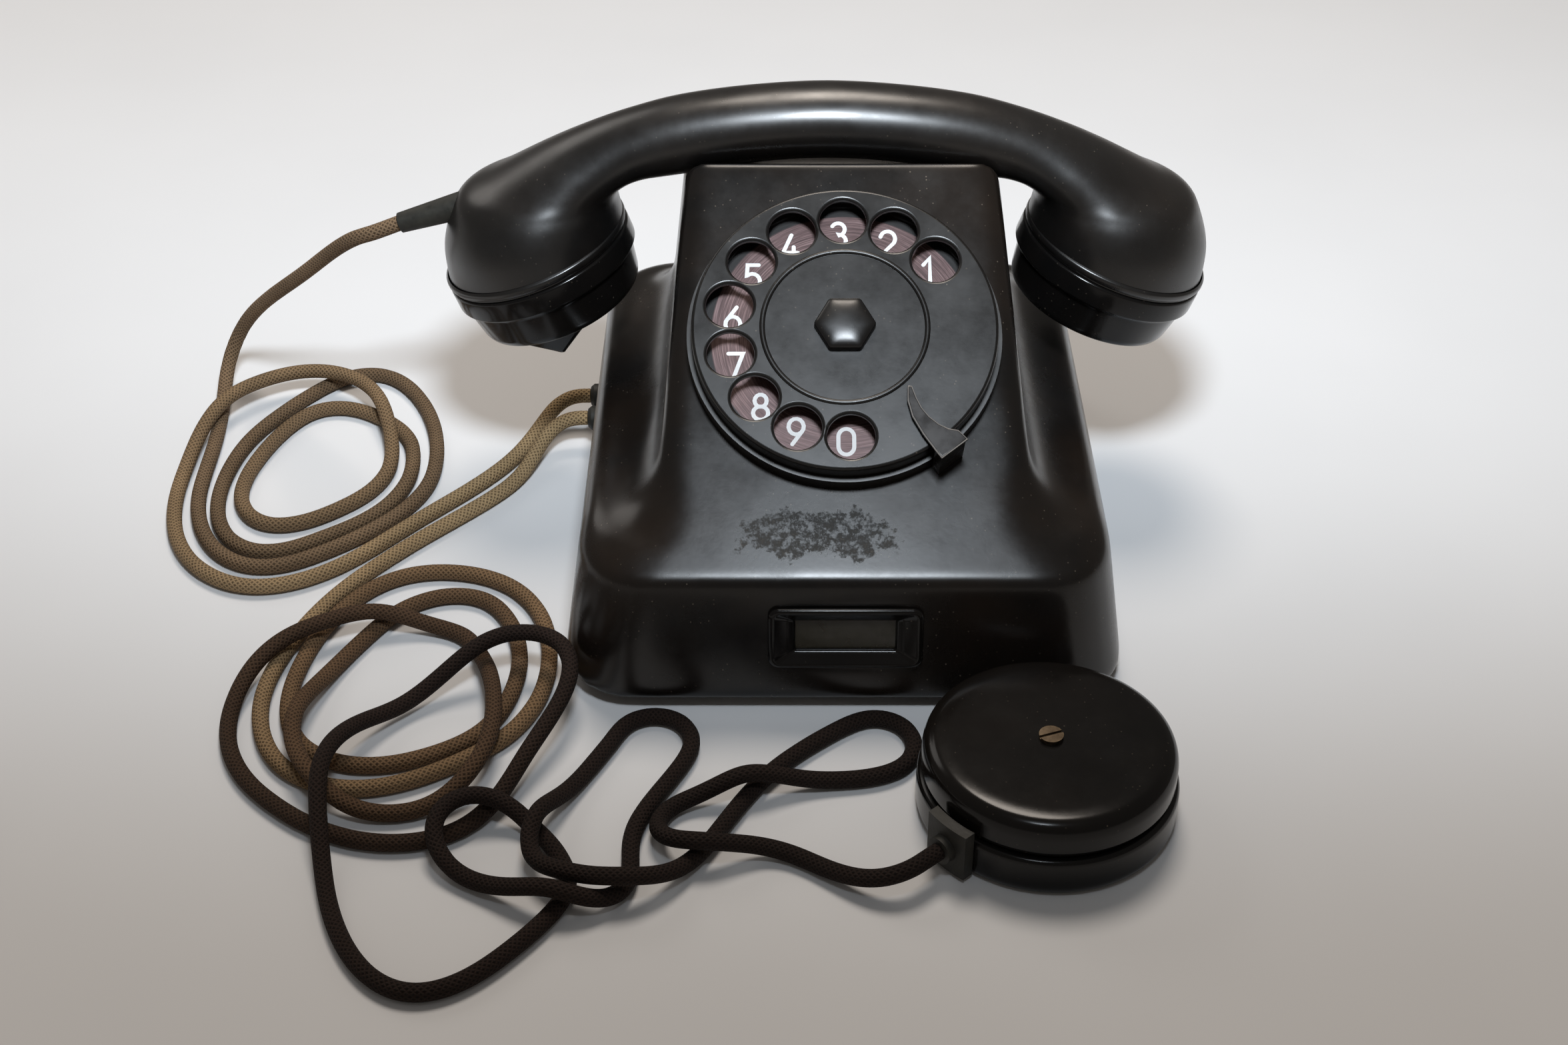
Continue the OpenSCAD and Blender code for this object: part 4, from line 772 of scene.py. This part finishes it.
def add_digits():
    place = on_slope()
    points, faces = [], []
    for i in range(HOLES):
        digit = (i + 1) % HOLES
        turn = math.radians(FIRST_HOLE + HOLE_STEP * i + DIGIT_TURNS[i])
        cx, cy = DIGIT_R * math.cos(turn), DIGIT_R * math.sin(turn)
        for number, stroke in enumerate(DIGITS[digit]):
            row = [(cx + (x - DIGIT_BOX_W / 2) * DIGIT_W, cy + (y - 0.5) * DIGIT_H) for x, y in stroke]
            verts, polygons = ribbon(row, STROKE, DIGIT_LEVEL + 2 * RIBBON_CLIMB * number)
            start = len(points)
            points += [place @ (Vector(v) * MM) for v in verts]
            faces += [tuple(start + v for v in face) for face in polygons]
    add_mesh("digits", points, faces, WHITE_PAINT, body="housing", slot="dial_plate")


add_digits()


def circle(radius, count, cx=0.0, cy=0.0):
    turns = [2 * math.pi * k / count for k in range(count)]
    return [(cx + radius * math.cos(turn), cy + radius * math.sin(turn)) for turn in turns]


def plate(name, outlines, low, high, edge, material, place, **ways):
    """Flat plate with rounded edges from outlines in millimetres; inner outlines are holes."""
    curve = bpy.data.curves.new(name, "CURVE")
    curve.dimensions = "2D"
    curve.fill_mode = "BOTH"
    curve.bevel_depth = edge * MM
    curve.bevel_resolution = 3
    curve.extrude = ((high - low) / 2 - edge) * MM
    for outline in outlines:
        spline = curve.splines.new("POLY")
        spline.points.add(len(outline) - 1)
        for point, (x, y) in zip(spline.points, outline):
            point.co = (x * MM, y * MM, 0, 1)
        spline.use_cyclic_u = True
    holder = link(bpy.data.objects.new(name, curve))
    bpy.context.view_layer.update()
    graph = bpy.context.evaluated_depsgraph_get()
    mesh = bpy.data.meshes.new_from_object(holder.evaluated_get(graph))
    bpy.data.objects.remove(holder)
    mesh.transform(place @ Matrix.Translation((0, 0, (low + high) / 2 * MM)))
    points = [v.co.copy() for v in mesh.vertices]
    faces = [tuple(face.vertices) for face in mesh.polygons]
    return add_mesh(name, points, faces, material, **ways)


WHEEL_R = 45
WHEEL_BORE_R = 3
WHEEL_LOW = 9
WHEEL_HIGH = 11.5
WHEEL_EDGE = 0.9
WHEEL_SIDES = 160
HOLE_CIRCLE_R = 34.5
HOLE_R = 7
RIM_PROFILE = [(42.75, 9.6), (42.75, 6.2), (45, 6.2), (45, 10.2)]
HUB_PROFILE = [(3.05, -0.7), (9, -0.7), (9, 9.6)]
# Raised ring of the wheel: middle radius and level, half width and height
BEAD_R = 24.2
BEAD_Z = 11.4
BEAD_HALF_W = 0.85
BEAD_H = 0.8


def add_wheel():
    place = on_slope()
    outlines = [circle(WHEEL_R - WHEEL_EDGE, WHEEL_SIDES),
                list(reversed(circle(WHEEL_BORE_R + WHEEL_EDGE, 48)))]
    for i in range(HOLES):
        turn = math.radians(FIRST_HOLE + HOLE_STEP * i)
        cx, cy = HOLE_CIRCLE_R * math.cos(turn), HOLE_CIRCLE_R * math.sin(turn)
        outlines.append(circle(HOLE_R + WHEEL_EDGE, 64, cx, cy))
    face = plate("wheel_disc", outlines, WHEEL_LOW, WHEEL_HIGH, WHEEL_EDGE, WHEEL_BLACK, place)
    rim = lathe("wheel_rim", rounded(RIM_PROFILE), WHEEL_BLACK, place, WHEEL_SIDES)
    hub = lathe("wheel_hub", HUB_PROFILE, WHEEL_BLACK, place, 64)
    turns = [math.radians(a) for a in range(0, 181, 20)]
    arch = [(BEAD_R + BEAD_HALF_W * math.cos(t), BEAD_Z + BEAD_H * math.sin(t)) for t in turns]
    bead = lathe("wheel_bead", arch, WHEEL_BLACK, place, WHEEL_SIDES)
    wheel = join(face, [rim, hub, bead])
    wheel.name = "finger_wheel_moulding"
    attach(wheel, "dial")
    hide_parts("finger_wheel")


add_wheel()

HEXAGON_STEPS = 5


def rounded_hexagon(radius, corner, level):
    """Six-sided ring with round corners."""
    ring = []
    inner = radius - corner / math.cos(math.pi / 6)
    for q in range(6):
        middle = math.pi / 3 * q
        for k in range(HEXAGON_STEPS + 1):
            turn = middle + math.pi / 6 * (2 * k / HEXAGON_STEPS - 1)
            ring.append((inner * math.cos(middle) + corner * math.cos(turn),
                         inner * math.sin(middle) + corner * math.sin(turn), level))
    return ring


# Corner reach, share of it that is rounded, and level of each ring of the nut
NUT_LEVELS = [
    (9.2, 0.14, 11.5), (9.2, 0.14, 13.3), (9.14, 0.15, 13.6), (8.98, 0.18, 13.9), (8.7, 0.23, 14.2),
    (8.2, 0.3, 14.5), (7.4, 0.42, 14.8), (6.3, 0.55, 15.05), (5.0, 0.68, 15.24), (3.4, 0.8, 15.38),
    (1.6, 0.84, 15.45),
]


def add_nut():
    rings = [rounded_hexagon(radius, radius * share, level) for radius, share, level in NUT_LEVELS]
    piece = loft("nut_moulding", rings, WHEEL_BLACK, on_slope(), body="dial", angle=80)
    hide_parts("hex_nut")


add_nut()

STOP_BELOW = 52
STOP_BLADE = [
    (49.6, -4.2), (47, -4.1), (41, -3.7), (35, -2.7), (30.5, -0.7), (27.3, 1.9), (27.6, 2.2),
    (31, 1.0), (34.5, 0.2), (38, 0.2), (41.5, 0.9), (44.5, 2.3), (46.5, 4.1), (49.6, 4.4),
]
STOP_POST = [(47.1, -4.2), (49.5, -4.2), (49.5, 4.2), (47.1, 4.2)]
# Low level, high level and edge radius
BLADE_LEVELS = (12.5, 14, 0.55)
POST_LEVELS = (0.1, 13.8, 0.3)


def add_stop():
    place = on_slope() @ Matrix.Rotation(math.radians(-STOP_BELOW), 4, "Z")
    piece = plate("stop_blade", [STOP_BLADE], *BLADE_LEVELS, MATERIALS["worn_chrome"], place)
    post = plate("stop_post", [STOP_POST], *POST_LEVELS, MATERIALS["worn_chrome"], place)
    stop = join(piece, [post])
    stop.name = "stop_hook"
    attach(stop, "housing")
    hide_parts("finger_stop")


add_stop()

# Handset

HANDSET_LEFT = 4.5
HANDSET_Y = 41
CAP_X = 92.9
CAP_Z = 81.2
CAP_TILT = math.radians(20)
SEAT = 30.5
# Outer point, inner point and half thickness of each section, from a head to the grip's middle
HALF_SECTIONS = [
    (CAP_X + SEAT * math.cos(CAP_TILT), CAP_Z - SEAT * math.sin(CAP_TILT),
     CAP_X - SEAT * math.cos(CAP_TILT), CAP_Z + SEAT * math.sin(CAP_TILT), SEAT),
    (122.4, 84.0, 65.5, 97.0, 29), (119.5, 95.0, 66.0, 101.0, 26.5), (115.5, 102.0, 65.0, 104.0, 23.5),
    (105.5, 107.5, 63.0, 106.2, 20.5), (89.0, 116.8, 59.5, 107.8, 17), (75.0, 123.6, 55.5, 108.4, 14.6),
    (61, 129.0, 51, 108.6, 13.6), (45, 133.5, 43, 109.7, 13.4), (24, 136.5, 23, 113.4, 13.4),
    (0, 137.9, 0, 115.0, 13.4),
]
SECTION_STEPS = 7
SECTION_SIDES = 72


def ease(a, b, c, d, t):
    """Point of a curve through the sections."""
    return tuple(0.5 * (2 * q + (r - p) * t + (2 * p - 5 * q + 4 * r - s) * t * t
                        + (3 * q - p - 3 * r + s) * t ** 3) for p, q, r, s in zip(a, b, c, d))


def handset_rings():
    flip = [(-s[0], s[1], -s[2], s[3], s[4]) for s in reversed(HALF_SECTIONS[:-1])]
    whole = HALF_SECTIONS + flip
    last = len(whole) - 1
    rows = []
    for i in range(last):
        near = (whole[max(i - 1, 0)], whole[i], whole[i + 1], whole[min(i + 2, last)])
        for s in range(SECTION_STEPS):
            rows.append(ease(*near, s / SECTION_STEPS))
    rows.append(whole[-1])
    rings = []
    for ox, oz, ix, iz, half in rows:
        ring = []
        for k in range(SECTION_SIDES):
            turn = 2 * math.pi * k / SECTION_SIDES
            up = 0.5 + 0.5 * math.cos(turn)
            ring.append((-HANDSET_LEFT - (ix + (ox - ix) * up), HANDSET_Y + half * math.sin(turn),
                         iz + (oz - iz) * up))
        rings.append(ring[::-1])
    return rings


def at_cap(side):
    centre = Vector((-HANDSET_LEFT + side * CAP_X, HANDSET_Y, CAP_Z)) * MM
    return Matrix.Translation(centre) @ Matrix.Rotation(math.pi + side * CAP_TILT, 4, "Y")


POCKET_R = 26
POCKET_LOW = -10
POCKET_HIGH = 3
COLLAR = rounded([
    (30.2, -3.2), (31.0, -2.6), (31.1, -1.3), (30.7, -0.4), (29.8, -0.1), (26.2, -0.1),
], 3, 0.4)
CAP_PROFILE = rounded([
    (28, 7.2), (28, 0.3), (30.3, 0.3), (31, 0.9), (31, 7.2), (30.5, 7.8), (29.5, 8.2), (29.2, 8.9),
    (27.6, 18.2), (26.8, 19.9), (25.4, 20.5), (23.4, 20.45), (22.4, 20.0), (0.01, 19.7),
], 3, 0.6)


def cut(piece, cutter):
    """Takes the cutter's form out of the piece."""
    tool = piece.modifiers.new("cut", "BOOLEAN")
    tool.operation = "DIFFERENCE"
    tool.solver = "EXACT"
    tool.object = cutter
    apply_modifiers(piece)
    bpy.data.objects.remove(cutter)


def pocket(place):
    rings = [[(x, y, level) for x, y in circle(POCKET_R, 96)] for level in (POCKET_LOW, POCKET_HIGH)]
    return loft("pocket", rings, MATERIALS["bakelite"], place)


def hood_ring(start, end, half, corner):
    """Rounded oblong across the hood, between two points of its middle plane."""
    start, end = Vector(start), Vector(end)
    along = (end - start).normalized()
    middle = (start + end) / 2
    ring = []
    for u, v, _ in rounded_rectangle((end - start).length, 2 * half, corner, 0, 4):
        ring.append((middle.x + along.x * u, v, middle.y + along.y * u))
    return ring


def add_hood():
    """Speaking hood: a tapered spout with a slanting mouth."""
    outer = [hood_ring((-17, 18.6), (17, 18.6), 12, 3), hood_ring((-15.2, 20.6), (16.9, 20.4), 11.8, 3),
             hood_ring((4.1, 34.7), (16.1, 27.3), 9.2, 1.6), hood_ring((4.7, 35.2), (16.1, 26.9), 9, 1.5),
             hood_ring((5.4, 35.2), (15.6, 27.3), 8.6, 1.2)]
    inner = [hood_ring((6.6, 34.2), (14.6, 28.0), 7.4, 1), hood_ring((6.2, 33.4), (14.4, 27.2), 7.2, 1),
             hood_ring((-12.4, 20.6), (14.8, 20.6), 9.8, 2)]
    return loft("hood", outer + inner, GLOSS_BLACK, at_cap(-1), capped=False)


def add_handset():
    shell = loft("handset_moulding", handset_rings(), MATERIALS["bakelite"])
    for side in (-1, 1):
        cut(shell, pocket(at_cap(side)))
    collars = [lathe("collar", COLLAR, MATERIALS["bakelite"], at_cap(side)) for side in (-1, 1)]
    shell = join(shell, collars)
    shade_smooth(shell.data, 40)
    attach(shell, "handset")
    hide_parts("handset_shell")
    ear = lathe("earpiece_moulding", CAP_PROFILE, GLOSS_BLACK, at_cap(1), body="handset", angle=50)
    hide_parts("earpiece_cap")
    mouth = lathe("mouthpiece_moulding", CAP_PROFILE, GLOSS_BLACK, at_cap(-1), angle=50)
    mouth = join(mouth, [add_hood()])
    shade_smooth(mouth.data, 45)
    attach(mouth, "handset")
    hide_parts("mouthpiece_cap")


add_handset()

# Listening receiver

LISTENER_PLACE = Matrix.Translation((0.0555, -0.132, 0))
LISTENER_SIDES = 128
CASE_PROFILE = rounded([
    (0.01, 0.0), (32.5, 0.0), (35.6, 0.9), (36.5, 3.2), (36.4, 11.4), (35.9, 12.5), (34.6, 13.0),
    (31, 13.0),
], 4, 0.9)
COVER_PROFILE = rounded([
    (31, 13.02), (33.9, 13.02), (34.3, 13.5), (34.3, 14.4), (35.3, 15.0), (35.3, 20.6), (34.4, 23.2),
    (32.2, 24.6), (29, 24.95), (14, 25.0), (0.01, 25.0),
], 4, 1.6)
BUSH_EDGE = 0.0006


def add_listener():
    case = lathe("listener_case_moulding", CASE_PROFILE, GLOSS_BLACK, LISTENER_PLACE, LISTENER_SIDES,
                 body="listener", angle=50)
    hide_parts("listener_cap")
    cover = lathe("listener_cover_moulding", COVER_PROFILE, GLOSS_BLACK, LISTENER_PLACE, LISTENER_SIDES,
                  body="listener", angle=50)
    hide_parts("listener_cover")
    rim = frame["nodes"]["listener_bush"].modifiers.new("rim", "BEVEL")
    rim.width = BUSH_EDGE
    rim.segments = 3
    rim.limit_method = "ANGLE"


add_listener()

# Floor and light

FLOOR_Z = -0.00005
FLOOR_REACH = 3.0
FLOOR_STOPS = [(0.3, (0.77, 0.775, 0.785)), (0.7, (0.8, 0.805, 0.815))]


def add_floor():
    corners = [(sx * FLOOR_REACH, sy * FLOOR_REACH, 0) for sx, sy in ((-1, -1), (1, -1), (1, 1), (-1, 1))]
    mesh = bpy.data.meshes.new("floor")
    mesh.from_pydata(corners, [], [(0, 1, 2, 3)])
    floor = link(bpy.data.objects.new("floor", mesh))
    floor.location.z = FLOOR_Z
    material, tree, shader = new_material("table")
    grain = noise(tree, object_place(tree), 6.0, 3.0)
    tree.links.new(ramp(tree, grain, FLOOR_STOPS), shader.inputs["Base Color"])
    shader.inputs["Roughness"].default_value = 0.7
    shader.inputs["Specular IOR Level"].default_value = 0.15
    mesh.materials.append(material)


def add_light(name, place, target, size, power, colour):
    data = bpy.data.lights.new(name, "AREA")
    data.shape = "DISK"
    data.size = size
    data.energy = power
    data.color = colour
    light = link(bpy.data.objects.new(name, data))
    light.location = place
    light.rotation_euler = (Vector(target) - Vector(place)).to_track_quat("-Z", "Y").to_euler()


def add_flash(place, cone, blend, radius, power, colour):
    """Flash that looks level to the rear; the soft lower edge of its cone leaves the table's front dim."""
    data = bpy.data.lights.new("flash", "SPOT")
    data.spot_size = math.radians(cone)
    data.spot_blend = blend
    data.shadow_soft_size = radius
    data.energy = power
    data.color = colour
    light = link(bpy.data.objects.new("flash", data))
    light.location = place
    light.rotation_euler = (math.pi / 2, 0, 0)


WORLD_COLOUR = (1.0, 0.92, 0.84, 1)
WORLD_STRENGTH = 0.13


def add_world():
    world = bpy.data.worlds.new("world")
    bpy.context.scene.world = world
    world.use_nodes = True
    sky = world.node_tree.nodes["Background"]
    sky.inputs["Color"].default_value = WORLD_COLOUR
    sky.inputs["Strength"].default_value = WORLD_STRENGTH


add_floor()
add_flash((0.01, -0.34, 0.66), cone=156, blend=0.57, radius=0.065, power=26, colour=(0.84, 0.92, 1))
add_light("top", (0, 0.85, 2.0), (-0.02, 0.2, 0), size=0.8, power=19.0, colour=(1, 0.9, 0.8))
add_light("back", (-0.8, 0.85, 0.85), (0, 0, 0.05), size=0.6, power=1.4, colour=(1, 0.95, 0.9))
add_world()
bpy.context.scene.view_settings.view_transform = "Standard"
